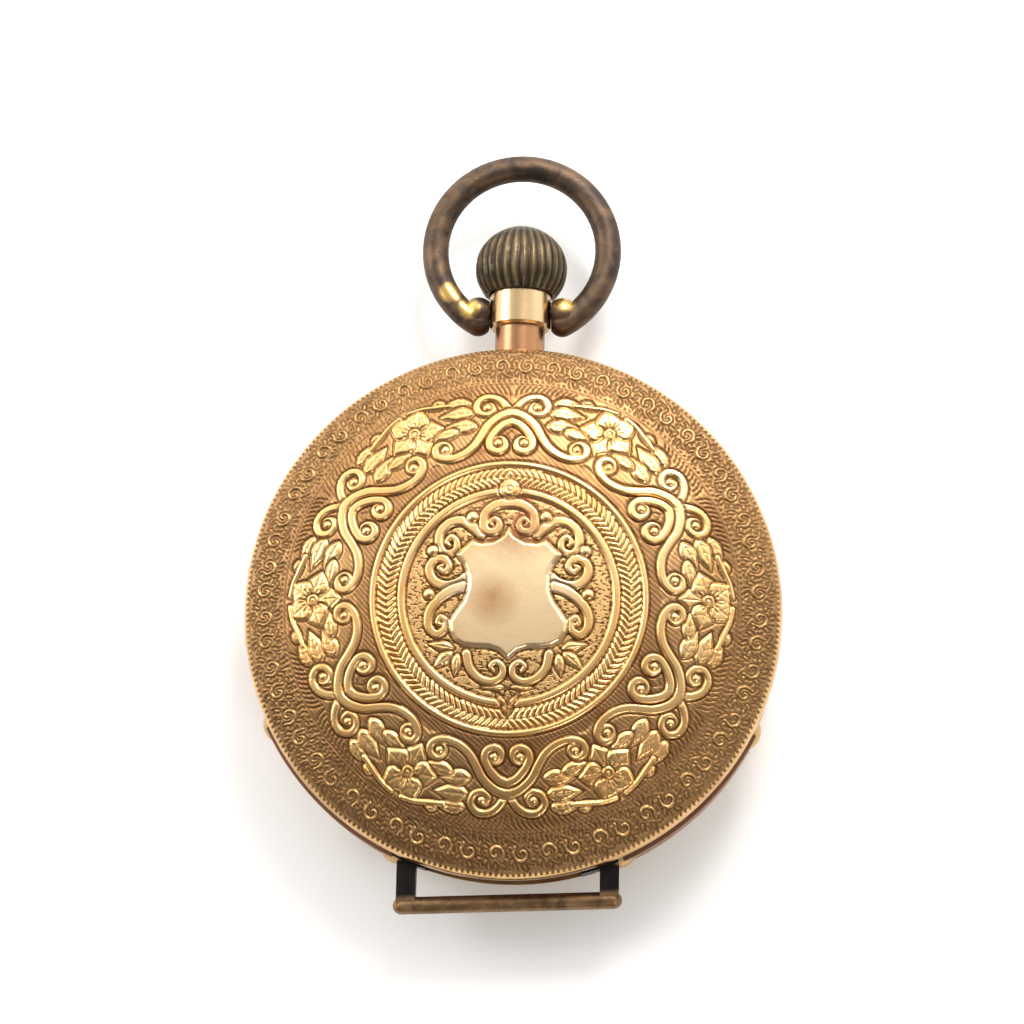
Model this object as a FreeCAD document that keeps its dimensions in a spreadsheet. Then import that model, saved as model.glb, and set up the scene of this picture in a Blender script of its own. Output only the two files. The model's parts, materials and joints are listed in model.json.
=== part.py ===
import FreeCAD, Part
import math
import os

import Sketcher

os.makedirs("parts", exist_ok=True)

# Fob watch lying face down.  Millimetres.  Origin: centre of the flat outer face of the glass.
# +Z runs through the watch to the engraved back, +Y to the crown, +X to the right seen from the back.

SIZES = [
    ("case_radius", 17.0),
    ("band_radius", 16.6),
    ("band_bore", 14.0),
    ("band_front_z", 2.6),
    ("band_back_z", 5.8),
    ("cover_z", 5.85),
    ("cover_apex_z", 9.8),
    ("cover_dome", 55.0),
    ("cover_edge", 1.41),
    ("cover_wall", 0.35),
    ("cuvette_radius", 16.0),
    ("cuvette_apex_z", 7.95),
    ("cuvette_dome", 95.0),
    ("cuvette_edge", 0.8),
    ("cuvette_wall", 0.3),
    ("bezel_top_z", 2.55),
    ("glass_radius", 12.75),
    ("glass_flat", 11.5),
    ("glass_thick", 0.8),
    ("hinge_x", 16.72),
    ("hinge_pin", 0.1),
    ("knuckle_radius", 0.24),
    ("stem_z", 4.2),
    ("neck_radius", 1.62),
    ("neck_end_y", 18.9),
    ("sleeve_radius", 2.0),
    ("sleeve_end_y", 21.6),
    ("crown_radius", 2.98),
    ("crown_base_y", 21.2),
    ("crown_end_y", 25.85),
    ("crown_ribs", 30),
    ("stem_radius", 0.45),
    ("bow_radius", 5.68),
    ("bow_wire", 0.855),
    ("bow_centre_y", 24.285),
    ("bow_pivot_y", 20.0),
    ("bow_foot_x", 2.75),
    ("bow_knob", 1.05),
    ("bow_stud", 0.36),
    ("pin_angle", 21.0),
    ("boss_radius", 1.3),
    ("pin_radius", 0.55),
    ("bar_y", -18.26),
    ("bar_lean", 2.6),
    ("bar_half", 6.62),
    ("bar_wire", 0.54),
    ("leg_x", 6.35),
    ("leg_width", 1.2),
    ("strip_height", 2.5),
    ("strip_out", 17.22),
    ("dial_radius", 13.6),
    ("dial_z", 1.65),
    ("plate_radius", 13.85),
    ("plate_z", 2.15),
    ("plate_top_z", 3.45),
    ("bridge_z", 5.05),
    ("bridge_thick", 0.55),
    ("bridge_radius", 13.4),
    ("winding_z", 5.65),
    ("winding_thick", 0.25),
    ("barrel_x", 4.24),
    ("barrel_y", 3.34),
    ("barrel_module", 0.12),
    ("barrel_z", 3.55),
    ("barrel_height", 1.05),
    ("centre_z", 4.72),
    ("centre_module", 0.1),
    ("third_x", -4.229),
    ("third_y", -1.539),
    ("third_module", 0.09),
    ("third_z", 3.6),
    ("fourth_x", -2.316),
    ("fourth_y", -4.852),
    ("fourth_module", 0.08),
    ("fourth_z", 4.35),
    ("escape_x", 0.578),
    ("escape_y", -5.905),
    ("escape_z", 3.76),
    ("escape_radius", 1.5),
    ("pallet_x", 2.67),
    ("pallet_y", -6.09),
    ("balance_x", 5.67),
    ("balance_y", -6.1),
    ("balance_radius", 3.6),
    ("balance_z", 4.25),
    ("wheel_thick", 0.16),
    ("winding_module", 0.2),
    ("crown_wheel_y", 8.4),
    ("minute_wheel_y", -2.4),
    ("minute_module", 0.1),
    ("hour_module", 0.096),
    ("running_fit", 0.03),
]

DOC = FreeCAD.newDocument("fob_watch")
SHEET = DOC.addObject("Spreadsheet::Sheet", "Sizes")
PIECES = []
X_AXIS = FreeCAD.Vector(1, 0, 0)
Y_AXIS = FreeCAD.Vector(0, 1, 0)
Z_AXIS = FreeCAD.Vector(0, 0, 1)


class Size:
    """A length known both as a number and as the formula that gives it from the sheet."""

    def __init__(self, value, formula=None):
        self.value = float(value)
        self.formula = formula or f"({value:.6g})"

    def _join(self, other, sign, value):
        return Size(value, f"({self.formula} {sign} {as_size(other).formula})")

    def __add__(self, other):
        return self._join(other, "+", self.value + number(other))

    def __sub__(self, other):
        return self._join(other, "-", self.value - number(other))

    def __mul__(self, other):
        return self._join(other, "*", self.value * number(other))

    def __truediv__(self, other):
        return self._join(other, "/", self.value / number(other))

    def __neg__(self):
        return Size(-self.value, f"(0 - {self.formula})")

    def __radd__(self, other):
        return as_size(other) + self

    def __rsub__(self, other):
        return as_size(other) - self

    def __rmul__(self, other):
        return as_size(other) * self

    def root(self):
        return Size(math.sqrt(self.value), f"sqrt({self.formula})")


def as_size(value):
    return value if isinstance(value, Size) else Size(value)


def number(value):
    return value.value if isinstance(value, Size) else float(value)


def vector(x, y, z=0.0):
    return FreeCAD.Vector(number(x), number(y), number(z))


def fill_sheet():
    for row, (alias, value) in enumerate(SIZES, start=1):
        SHEET.set(f"A{row}", alias)
        SHEET.set(f"B{row}", str(value))
        SHEET.setAlias(f"B{row}", alias)
    DOC.recompute()


def size(alias):
    return Size(SHEET.get(alias), f"Sizes.{alias}")


def bind(target, prop, value):
    """Set a property, and let it follow its formula when it has one."""
    setattr(target, prop, number(value))
    if isinstance(value, Size):
        target.setExpression(prop, value.formula)


def place(target, x=0.0, y=0.0, z=0.0, along=Z_AXIS, turn=0.0):
    """Put the target's own origin at x, y, z with its +Z along the given direction."""
    rotation = FreeCAD.Rotation(Z_AXIS, along).multiply(FreeCAD.Rotation(Z_AXIS, turn))
    target.Placement = FreeCAD.Placement(vector(x, y, z), rotation)
    for letter, value in (("x", x), ("y", y), ("z", z)):
        if isinstance(value, Size):
            target.setExpression(f"Placement.Base.{letter}", value.formula)
    return target


def polar(radius, degrees):
    return radius * math.cos(math.radians(degrees)), radius * math.sin(math.radians(degrees))


def piece(target, label):
    """Register a finished sub-part under its node name."""
    target.Label = label
    PIECES.append(target)
    return target


def cylinder(radius, height, x=0.0, y=0.0, z=0.0, along=Z_AXIS):
    made = DOC.addObject("Part::Cylinder", "Round")
    bind(made, "Radius", radius)
    bind(made, "Height", height)
    return place(made, x, y, z, along)


def ball(radius, x, y, z):
    made = DOC.addObject("Part::Sphere", "Ball")
    bind(made, "Radius", radius)
    return place(made, x, y, z)


def box(length, width, height, x, y, z, turn=0.0):
    made = DOC.addObject("Part::Box", "Block")
    bind(made, "Length", length)
    bind(made, "Width", width)
    bind(made, "Height", height)
    return place(made, x, y, z, turn=turn)


def fuse(*parts):
    made = DOC.addObject("Part::MultiFuse", "Joined")
    made.Shapes = list(parts)
    made.Refine = True
    return made


def cut(base, *tools):
    made = DOC.addObject("Part::Cut", "Trimmed")
    made.Base = base
    made.Tool = tools[0] if len(tools) == 1 else fuse(*tools)
    made.Refine = True
    return made


def common(base, tool):
    made = DOC.addObject("Part::Common", "Shared")
    made.Base = base
    made.Tool = tool
    return made


def group(*parts):
    made = DOC.addObject("Part::Compound", "Set")
    made.Links = list(parts)
    return made


def arc_centre(start, end, radius, side):
    """Centre of the arc from start to end; side +1 puts it on the left of the way of travel."""
    chord = end - start
    reach = math.sqrt(max(radius * radius - chord.Length ** 2 / 4.0, 0.0))
    left = FreeCAD.Vector(-chord.y, chord.x, 0).normalize()
    return (start + end) * 0.5 + left * (reach * side)


def add_edge(sketch, start, end, arc):
    """Add one side of an outline; returns its index and which of its ends come first and last."""
    if arc is None:
        return sketch.addGeometry(Part.LineSegment(start, end), False), 1, 2
    radius, side = arc
    centre = arc_centre(start, end, number(radius), side)
    circle = Part.Circle(centre, Z_AXIS, number(radius))
    first, last = (start, end) if side > 0 else (end, start)
    from_angle = math.atan2(first.y - centre.y, first.x - centre.x)
    to_angle = math.atan2(last.y - centre.y, last.x - centre.x)
    if to_angle <= from_angle:
        to_angle += 2 * math.pi
    index = sketch.addGeometry(Part.ArcOfCircle(circle, from_angle, to_angle), False)
    follow(sketch, Sketcher.Constraint("Radius", index, number(radius)), radius)
    return (index, 1, 2) if side > 0 else (index, 2, 1)


def follow(sketch, constraint, value):
    """Add a constraint whose number follows its formula."""
    index = sketch.addConstraint(constraint)
    if isinstance(value, Size):
        sketch.setExpression(f"Constraints[{index}]", value.formula)


def pin_corner(sketch, edge, end, x, y):
    for kind, axis, value in (("DistanceX", -2, x), ("DistanceY", -1, y)):
        if not isinstance(value, Size) and value == 0:
            sketch.addConstraint(Sketcher.Constraint("PointOnObject", edge, end, axis))
        else:
            follow(sketch, Sketcher.Constraint(kind, edge, end, number(value)), value)


def outline(body, plane, corners, name):
    """Closed sketch; a corner is (x, y) or (x, y, radius, side) when an arc leaves it."""
    sketch = body.newObject("Sketcher::SketchObject", name)
    origin = [one for one in body.Origin.OriginFeatures if one.Role == plane][0]
    sketch.AttachmentSupport = [(origin, "")]
    sketch.MapMode = "FlatFace"
    points = [vector(corner[0], corner[1]) for corner in corners]
    edges = []
    for index, corner in enumerate(corners):
        arc = corner[2:] if len(corner) > 2 else None
        edges.append(add_edge(sketch, points[index], points[(index + 1) % len(points)], arc))
    for index, (edge, first, last) in enumerate(edges):
        following, begin, _ = edges[(index + 1) % len(edges)]
        sketch.addConstraint(Sketcher.Constraint("Coincident", edge, last, following, begin))
    for corner, (edge, first, last) in zip(corners, edges):
        pin_corner(sketch, edge, first, corner[0], corner[1])
    return sketch


def revolved(name, corners):
    """Body turned about Z from a profile of (radius, height) corners."""
    body = DOC.addObject("PartDesign::Body", name)
    profile = outline(body, "XZ_Plane", corners, name + "_profile")
    turned = body.newObject("PartDesign::Revolution", name + "_turned")
    turned.Profile = profile
    turned.ReferenceAxis = (profile, ["V_Axis"])
    turned.Angle = 360.0
    body.Tip = turned
    return body


def padded(name, corners, z, height):
    """Body raised from an outline lying at height z."""
    body = DOC.addObject("PartDesign::Body", name)
    profile = outline(body, "XY_Plane", corners, name + "_profile")
    raised = body.newObject("PartDesign::Pad", name + "_raised")
    raised.Profile = profile
    bind(raised, "Length", height)
    body.Tip = raised
    return place(body, z=z)


fill_sheet()

CASE_R = size("case_radius")
BAND_R = size("band_radius")
BAND_Z = size("band_front_z")
BAND_TOP = size("band_back_z")
BAND_H = BAND_TOP - BAND_Z
STEM_Z = size("stem_z")
STEM_R = size("stem_radius")
FIT = size("running_fit")
HINGE_X = size("hinge_x")
BACK_HINGE_Z = size("cover_z") - 0.02
FRONT_HINGE_Z = size("bezel_top_z") + 0.02
PIN_ANGLE = math.radians(number(size("pin_angle")))
PIN_DIRECTION = FreeCAD.Vector(-math.sin(PIN_ANGLE), math.cos(PIN_ANGLE), 0)


def dish(name, radius, dome, edge, wall, apex, rim):
    """Domed lid: a flat arc, a tight edge arc and a short straight rim."""
    sine = (radius - edge) / (dome - edge)
    cosine = (1 - sine * sine).root()
    base = apex - dome
    edge_z = base + (dome - edge) * cosine
    inner = dome - wall
    return revolved(name, [
        (0, apex, dome, -1),
        (dome * sine, base + dome * cosine, edge, -1),
        (radius, edge_z),
        (radius, rim),
        (radius - wall, rim),
        (radius - wall, edge_z, edge - wall, 1),
        (inner * sine, base + inner * cosine, inner, 1),
        (0, apex - wall),
    ])


def knuckle(start, length, z, radius, bore):
    """Hinge barrel along Y at the left edge of the case."""
    barrel = cylinder(radius, length, -HINGE_X, start, z, Y_AXIS)
    hole = cylinder(bore, length + 0.2, -HINGE_X, start - 0.1, z, Y_AXIS)
    return barrel, hole


def hinge_pocket(length, z, height):
    """Block that clears the hinge at the left edge."""
    return box(1.0, length, height, -HINGE_X - 0.68, -length / 2.0, z)


def radial_cylinder(radius, start, length):
    """Cylinder along the setting pin's own direction."""
    return cylinder(radius, length, PIN_DIRECTION.x * start, PIN_DIRECTION.y * start, STEM_Z, PIN_DIRECTION)


def sector(name, inner, outer, start, end, z, height):
    """Curved strip between two radii and two angles (degrees from +X)."""
    first = polar(1.0, start)
    last = polar(1.0, end)
    return padded(name, [
        (inner * first[0], inner * first[1]),
        (outer * first[0], outer * first[1], outer, 1),
        (outer * last[0], outer * last[1]),
        (inner * last[0], inner * last[1], inner, -1),
    ], z, height)


def make_case_band():
    step = size("cuvette_radius") - 0.15
    ledge = size("dial_radius") + 0.08
    ring = revolved("band", [
        (ledge, 1.9), (step, 1.9), (step, BAND_Z), (BAND_R, BAND_Z), (BAND_R, BAND_TOP),
        (size("band_bore"), BAND_TOP), (size("band_bore"), size("plate_z")), (ledge, size("plate_z")),
    ])
    stem_hole = cylinder(STEM_R + FIT, 4.0, 0, 13.2, STEM_Z, Y_AXIS)
    pin_hole = radial_cylinder(size("pin_radius") + FIT, 13.2, 4.0)
    back = hinge_pocket(5.1, BAND_TOP - 0.26, 0.5)
    front = hinge_pocket(4.1, BAND_Z - 0.2, 0.46)
    piece(cut(ring, stem_hole, pin_hole, back, front), "case_band")


def make_back_cover():
    shell = dish("cover", CASE_R, size("cover_dome"), size("cover_edge"), size("cover_wall"),
                 size("cover_apex_z"), size("cover_z"))
    piece(cut(shell, hinge_pocket(5.3, size("cover_z") - 0.1, 0.37)), "back_cover")
    barrels = []
    holes = []
    for start in (-1.5, 0.55):
        barrel, hole = knuckle(start, 0.95, BACK_HINGE_Z, size("knuckle_radius"), size("hinge_pin") + 0.02)
        foot = box(0.3, 0.95, 0.27, -HINGE_X - 0.13, start, size("cover_z"))
        barrels.append(fuse(barrel, foot))
        holes.append(hole)
    piece(cut(group(*barrels), *holes), "back_cover_knuckles")


def make_inner_cover():
    shell = dish("cuvette", size("cuvette_radius"), size("cuvette_dome"), size("cuvette_edge"),
                 size("cuvette_wall"), size("cuvette_apex_z"), size("cover_z"))
    barrel, hole = knuckle(-0.48, 0.96, BACK_HINGE_Z, size("knuckle_radius"), size("hinge_pin") + 0.02)
    arm = box(0.9, 0.96, 0.16, -HINGE_X, -0.48, size("cover_z") + 0.02)
    piece(cut(fuse(shell, barrel, arm), hole), "inner_cover")


def make_case_knuckles():
    for label, z, starts, length, foot_z in (
        ("back_hinge_knuckles", BACK_HINGE_Z, (-2.5, 1.55), 0.95, BAND_TOP - 0.26),
        ("bezel_hinge_knuckles", FRONT_HINGE_Z, (-2.0, 1.0), 1.0, BAND_Z + 0.02),
    ):
        solids = []
        for start in starts:
            barrel, hole = knuckle(start, length, z, size("knuckle_radius"), size("hinge_pin"))
            foot = box(0.32, length, 0.22, -HINGE_X, start, foot_z)
            solids.append(cut(fuse(barrel, foot), hole))
        piece(group(*solids), label)


def make_hinge_pins():
    piece(cylinder(size("hinge_pin"), 5.0, -HINGE_X, -2.5, BACK_HINGE_Z, Y_AXIS), "back_hinge_pin")
    piece(cylinder(size("hinge_pin"), 4.0, -HINGE_X, -2.0, FRONT_HINGE_Z, Y_AXIS), "bezel_hinge_pin")


def make_front():
    glass = size("glass_radius")
    seat = size("glass_thick")
    piece(revolved("glass", [
        (0, 0), (size("glass_flat"), 0), (glass, 0.5), (glass, seat), (0, seat),
    ]), "crystal")
    rim = size("bezel_top_z")
    inside = size("cuvette_radius") - 0.1
    ring = revolved("bezel", [
        (glass, 0.34), (glass + 0.5, 0.28, 5.0, 1), (CASE_R, 2.0), (CASE_R, rim), (inside, rim),
        (inside, 1.85), (glass + 1.0, 1.85), (glass + 1.0, 1.5), (glass - 0.3, 1.3),
        (glass - 0.3, seat), (glass, seat),
    ])
    barrel, hole = knuckle(-0.95, 1.9, FRONT_HINGE_Z, size("knuckle_radius"), size("hinge_pin") + 0.02)
    foot = box(0.4, 1.9, 0.35, -HINGE_X - 0.18, -0.95, rim - 0.36)
    notched = cut(ring, hinge_pocket(4.2, rim - 0.32, 0.5))
    piece(cut(fuse(notched, barrel, foot), hole), "front_bezel")


def make_pendant():
    end = size("neck_end_y")
    bore = STEM_R + FIT
    neck = cylinder(size("neck_radius"), end - 15.8, 0, 15.8, STEM_Z, Y_AXIS)
    inside = cylinder(BAND_R, BAND_H + 2.0, 0, 0, BAND_Z - 1.0)
    piece(cut(neck, inside, cylinder(bore, 4.0, 0, 15.0, STEM_Z, Y_AXIS)), "pendant_neck")
    outer = size("sleeve_radius")
    height = size("sleeve_end_y") - end
    turned = revolved("sleeve", [
        (bore, 0), (outer - 0.14, 0), (outer, 0.16), (outer, height - 0.25), (outer - 0.12, height),
        (bore, height),
    ])
    place(turned, 0, end, STEM_Z, Y_AXIS)
    cross = cylinder(size("bow_stud") + FIT, 5.0, -2.5, size("bow_pivot_y"), STEM_Z, X_AXIS)
    piece(cut(turned, cross), "pendant_sleeve")


def ribbed_section(radius, height, ribs, depth):
    """Closed wavy curve with one wave for each rib."""
    points = []
    for step in range(ribs * 4):
        angle = 2 * math.pi * step / (ribs * 4)
        reach = radius * (1 + depth * math.cos(ribs * angle))
        points.append(FreeCAD.Vector(reach * math.cos(angle), reach * math.sin(angle), height))
    curve = Part.BSplineCurve()
    curve.interpolate(points, PeriodicFlag=True)
    return Part.Wire([curve.toShape()])


def make_crown():
    full = number(size("crown_radius"))
    base = number(size("crown_base_y"))
    tall = number(size("crown_end_y")) - base
    ribs = int(SHEET.get("crown_ribs"))
    levels = ((0.0, 0.78), (0.12, 0.9), (0.27, 0.985), (0.42, 1.0), (0.58, 0.955), (0.73, 0.83),
              (0.85, 0.65), (0.93, 0.46), (0.975, 0.3))
    sections = [ribbed_section(full * share * 0.985, tall * level, ribs, 0.022) for level, share in levels]
    blank = Part.makeLoft(sections, True, False)
    cap = Part.makeSphere(full * 0.36, FreeCAD.Vector(0, 0, tall - full * 0.36))
    recess = Part.makeCylinder(number(size("sleeve_radius")) + 0.08, 0.6, FreeCAD.Vector(0, 0, -0.05))
    bore = Part.makeCylinder(number(STEM_R), 2.6, FreeCAD.Vector(0, 0, -0.05))
    made = DOC.addObject("Part::Feature", "Crown")
    made.Shape = blank.fuse(cap).cut(recess.fuse(bore))
    place(made, 0, size("crown_base_y"), STEM_Z, Y_AXIS)
    piece(made, "crown")
    reach = size("crown_base_y") + 2.55
    piece(cylinder(STEM_R, reach - 8.6, 0, 8.6, STEM_Z, Y_AXIS), "winding_stem")


def make_bow():
    ring = size("bow_radius")
    wire = size("bow_wire")
    foot = size("bow_foot_x")
    pivot = size("bow_pivot_y")
    share = foot / ring
    lean = math.degrees(math.acos(share.value))
    loop = DOC.addObject("Part::Torus", "Loop")
    bind(loop, "Radius1", ring)
    bind(loop, "Radius2", wire)
    loop.Angle3 = 180 + 2 * lean
    loop.setExpression("Angle3", f"180 deg + 2 * acos({share.formula})")
    place(loop, 0, size("bow_centre_y"), STEM_Z, turn=-lean)
    solids = [loop]
    foot_y = size("bow_centre_y") - (ring * ring - foot * foot).root()
    studs = []
    for side, start in ((1, foot - 1.55), (-1, -foot)):
        solids.append(ball(wire, foot * side, foot_y, STEM_Z))
        solids.append(ball(size("bow_knob"), foot * side, pivot, STEM_Z))
        studs.append(cylinder(size("bow_stud"), 1.55, start, pivot, STEM_Z, X_AXIS))
    gap = size("sleeve_radius") + FIT
    room = box(gap * 2, 4.0, 3.0, -gap, pivot - 2.0, STEM_Z - 1.5)
    piece(fuse(cut(fuse(*solids), room), *studs), "bow")


def make_setting_pin():
    inside = cylinder(BAND_R, BAND_H + 2.0, 0, 0, BAND_Z - 1.0)
    hole = radial_cylinder(size("pin_radius") + FIT, 15.5, 3.0)
    piece(cut(radial_cylinder(size("boss_radius"), 15.8, 1.42), inside, hole), "setting_boss")
    piece(fuse(radial_cylinder(size("pin_radius"), 13.5, 3.95),
               radial_cylinder(size("pin_radius") + 0.15, 13.5, 0.3)), "setting_pin")


LUG_STRIPS = (("lug_strip_right", -65.0, -26.5), ("lug_strip_left", 206.5, 245.0))


def make_strap_bar():
    radius = size("bar_wire")
    half = size("bar_half")
    y = size("bar_y")
    width = size("leg_width")
    clear = []
    lean = math.radians(number(size("bar_lean")))
    drop = half * math.tan(lean)
    way = FreeCAD.Vector(math.cos(lean), math.sin(lean), 0)
    solids = [cylinder(radius, half * 2 / math.cos(lean), -half, y - drop, STEM_Z, way)]
    for side in (-1, 1):
        middle = size("leg_x") * side
        low = y + drop * side
        solids.append(ball(radius, half * side, low, STEM_Z))
        solids.append(box(width, 3.3, 1.0, middle - width / 2, low, STEM_Z - 0.5))
        solids.append(common(cylinder(BAND_R + 0.5, 2.2, 0, 0, STEM_Z - 1.1),
                             box(2.3, 4.0, 2.2, middle - 1.45 - 0.3 * side, low + 0.6, STEM_Z - 1.1)))
    for label, start, end in LUG_STRIPS:
        clear += [strip_body(label + "_room", start, end), strip_lens(start), strip_lens(end)]
    piece(cut(fuse(*solids), cylinder(BAND_R, BAND_H, 0, 0, BAND_Z), *clear), "strap_bar")


def strip_body(name, start, end):
    """Plain part of a lug strip, between two angles."""
    height = size("strip_height")
    return sector(name, BAND_R, size("strip_out"), start, end, STEM_Z - height / 2, height)


def strip_lens(angle):
    """Rounded boss at the end of a lug strip."""
    x, y = polar(1.0, angle)
    reach = size("strip_out") - 0.95
    return ball(1.2, reach * x, reach * y, STEM_Z)


def make_lug_strips():
    for label, start, end in LUG_STRIPS:
        solid = fuse(strip_body(label + "_body", start, end), strip_lens(start), strip_lens(end))
        piece(cut(solid, cylinder(BAND_R, BAND_H, 0, 0, BAND_Z)), label)


def polygon_solid(points, z, height):
    """Prism raised from a closed ring of (x, y) points."""
    corners = [FreeCAD.Vector(x, y, z) for x, y in points]
    face = Part.Face(Part.makePolygon(corners + corners[:1]))
    return face.extrude(FreeCAD.Vector(0, 0, height))


def gear_solid(teeth, module, z, height, phase, bore=0.0):
    """Spur wheel with one tooth centred on the phase angle."""
    root = module * (teeth / 2.0 - 1.2)
    tip = module * (teeth / 2.0 + 0.75)
    pitch = 360.0 / teeth
    points = []
    for tooth in range(teeth):
        middle = phase + tooth * pitch
        for radius, share in ((root, -0.31), (tip, -0.11), (tip, 0.11), (root, 0.31)):
            points.append(polar(radius, middle + share * pitch))
    solid = polygon_solid(points, z, height)
    if bore:
        solid = solid.cut(Part.makeCylinder(bore, height + 1, FreeCAD.Vector(0, 0, z - 0.5)))
    return solid


def spoke_windows(inner, outer, z, height, count, half_width):
    """Openings that leave straight spokes between a hub and a rim."""
    disc = Part.makeCylinder(outer, height, FreeCAD.Vector(0, 0, z))
    ring = disc.cut(Part.makeCylinder(inner, height, FreeCAD.Vector(0, 0, z)))
    bars = []
    for index in range(count):
        bar = Part.makeBox(outer + 1, half_width * 2, height, FreeCAD.Vector(0, -half_width, z))
        bar.rotate(FreeCAD.Vector(), Z_AXIS, 360.0 * index / count)
        bars.append(bar)
    return ring.cut(bars)


def rod(radius, start, end):
    return Part.makeCylinder(radius, end - start, FreeCAD.Vector(0, 0, start))


def shaped(shape, label, x=0.0, y=0.0, z=0.0, along=Z_AXIS):
    """Sub-part whose outline follows a formula, placed by the sheet."""
    made = DOC.addObject("Part::Feature", "Shaped")
    made.Shape = shape
    place(made, x, y, z, along)
    return piece(made, label)


def heading(start, end):
    """Angle in degrees of the way from one axis of the train to the next."""
    return math.degrees(math.atan2(number(end[1]) - number(start[1]), number(end[0]) - number(start[0])))


def partner_phase(phase, teeth, partner_teeth, way):
    """Phase that lets a wheel mesh with one lying in the given direction."""
    return way + 180 + 180.0 / partner_teeth - (phase - way) * teeth / partner_teeth


def train_wheel(label, axis, wheel, pinion, pivots, spokes=5):
    """Wheel and pinion on one arbor; wheel and pinion are (teeth, module, z, height, phase)."""
    teeth, module, z, height, _ = wheel
    rim = module * (teeth / 2.0 - 1.2) - 0.32
    body = gear_solid(*wheel).cut(spoke_windows(0.75, rim, z, height, spokes, 0.14))
    shape = body.fuse([gear_solid(*pinion)] + [rod(*each) for each in pivots]).removeSplitter()
    shaped(shape, label, axis[0], axis[1])


def spiral_solid(start, end, turns, width, z, height):
    """Flat spiral strip about Z."""
    steps = int(turns * 24)
    lines = []
    for offset in (-width / 2.0, width / 2.0):
        points = []
        for step in range(steps + 1):
            share = step / steps
            reach = start + (end - start) * share + offset
            points.append(FreeCAD.Vector(*polar(reach, 360 * turns * share), z))
        curve = Part.BSplineCurve()
        curve.interpolate(points)
        lines.append(curve.toShape())
    caps = [Part.makeLine(lines[0].valueAt(edge), lines[1].valueAt(edge2))
            for edge, edge2 in ((lines[0].FirstParameter, lines[1].FirstParameter),
                                (lines[0].LastParameter, lines[1].LastParameter))]
    wire = Part.Wire(Part.__sortEdges__([lines[0], caps[1], lines[1], caps[0]]))
    return Part.Face(wire).extrude(FreeCAD.Vector(0, 0, height))


CENTRE = (0.0, 0.0)
BARREL = (size("barrel_x"), size("barrel_y"))
THIRD = (size("third_x"), size("third_y"))
FOURTH = (size("fourth_x"), size("fourth_y"))
ESCAPE = (size("escape_x"), size("escape_y"))
PALLET = (size("pallet_x"), size("pallet_y"))
BALANCE = (size("balance_x"), size("balance_y"))
PLATE_Z = size("plate_z")
PLATE_TOP = size("plate_top_z")
BRIDGE_Z = size("bridge_z")
BRIDGE_H = size("bridge_thick")
BRIDGE_TOP = BRIDGE_Z + BRIDGE_H
BRIDGE_R = size("bridge_radius")
THIN = number(size("wheel_thick"))
PIVOT = 0.1


def make_dial():
    plain = cylinder(size("dial_radius"), PLATE_Z - size("dial_z"), 0, 0, size("dial_z"))
    piece(cut(plain, cylinder(0.75, 1.0, 0, 0, size("dial_z") - 0.2)), "dial")


def make_hands():
    for label, z, bore, boss, reach, width, clock in (
        ("hour_hand", 1.3, 0.6, 1.0, 7.0, 0.42, 304.5),
        ("minute_hand", 1.05, 0.35, 0.8, 11.2, 0.32, 54.0),
    ):
        blade = padded(label + "_blade", [
            (-width / 2, boss * 0.6), (width / 2, boss * 0.6), (width * 0.35, reach * 0.6),
            (width * 1.6, reach * 0.74), (0.03, reach), (-0.03, reach), (-width * 1.6, reach * 0.74),
            (-width * 0.35, reach * 0.6),
        ], z, 0.1)
        place(blade, z=z, turn=clock)
        whole = fuse(blade, cylinder(boss, 0.1, 0, 0, z))
        piece(cut(whole, cylinder(bore, 1.0, 0, 0, z - 0.3)), label)


def make_motion_work():
    minute = number(size("minute_module"))
    hour = number(size("hour_module"))
    pipe = gear_solid(12, minute, 2.43, 0.22, -90.0).fuse(rod(0.35, 1.02, 2.65))
    shaped(pipe.cut(rod(0.22, 0.9, 2.8)), "cannon_pinion")
    tube = gear_solid(40, hour, 2.2, 0.15, -90.0).fuse(rod(0.6, 1.28, 2.35))
    shaped(tube.cut(rod(0.38, 1.0, 2.6)), "hour_wheel")
    wheel = gear_solid(36, minute, 2.45, 0.15, 90.0 + 5.0)
    pinion = gear_solid(10, hour, 2.2, 0.3, 90.0 + 18.0)
    shaped(wheel.fuse([pinion, rod(0.15, 2.2, 3.0)]), "minute_wheel", 0, size("minute_wheel_y"))


def make_main_plate():
    y = size("minute_wheel_y")
    below = PLATE_Z - 0.1
    tools = [
        cylinder(2.2, 0.7, 0, 0, below),
        cylinder(2.1, 0.7, 0, y, below),
        cylinder(0.18, 1.1, 0, y, below),
        cylinder(0.25, 2.0, 0, 0, below),
        cylinder(0.63, 0.8, BARREL[0], BARREL[1], PLATE_TOP - 0.5),
        box(3.8, 0.9, 2.0, -1.9, 10.6, PLATE_TOP - 1.1),
    ]
    for axis in (THIRD, FOURTH, ESCAPE, PALLET, BALANCE):
        tools.append(cylinder(PIVOT + FIT, 0.8, axis[0], axis[1], PLATE_TOP - 0.5))
    for angle in (-10.0, 178.0):
        x, y = polar(13.0, angle)
        tools.append(cylinder(0.2, 0.9, x, y, PLATE_TOP - 0.85))
    disc = cylinder(size("plate_radius"), PLATE_TOP - PLATE_Z, 0, 0, PLATE_Z)
    piece(cut(disc, *tools), "main_plate")


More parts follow.
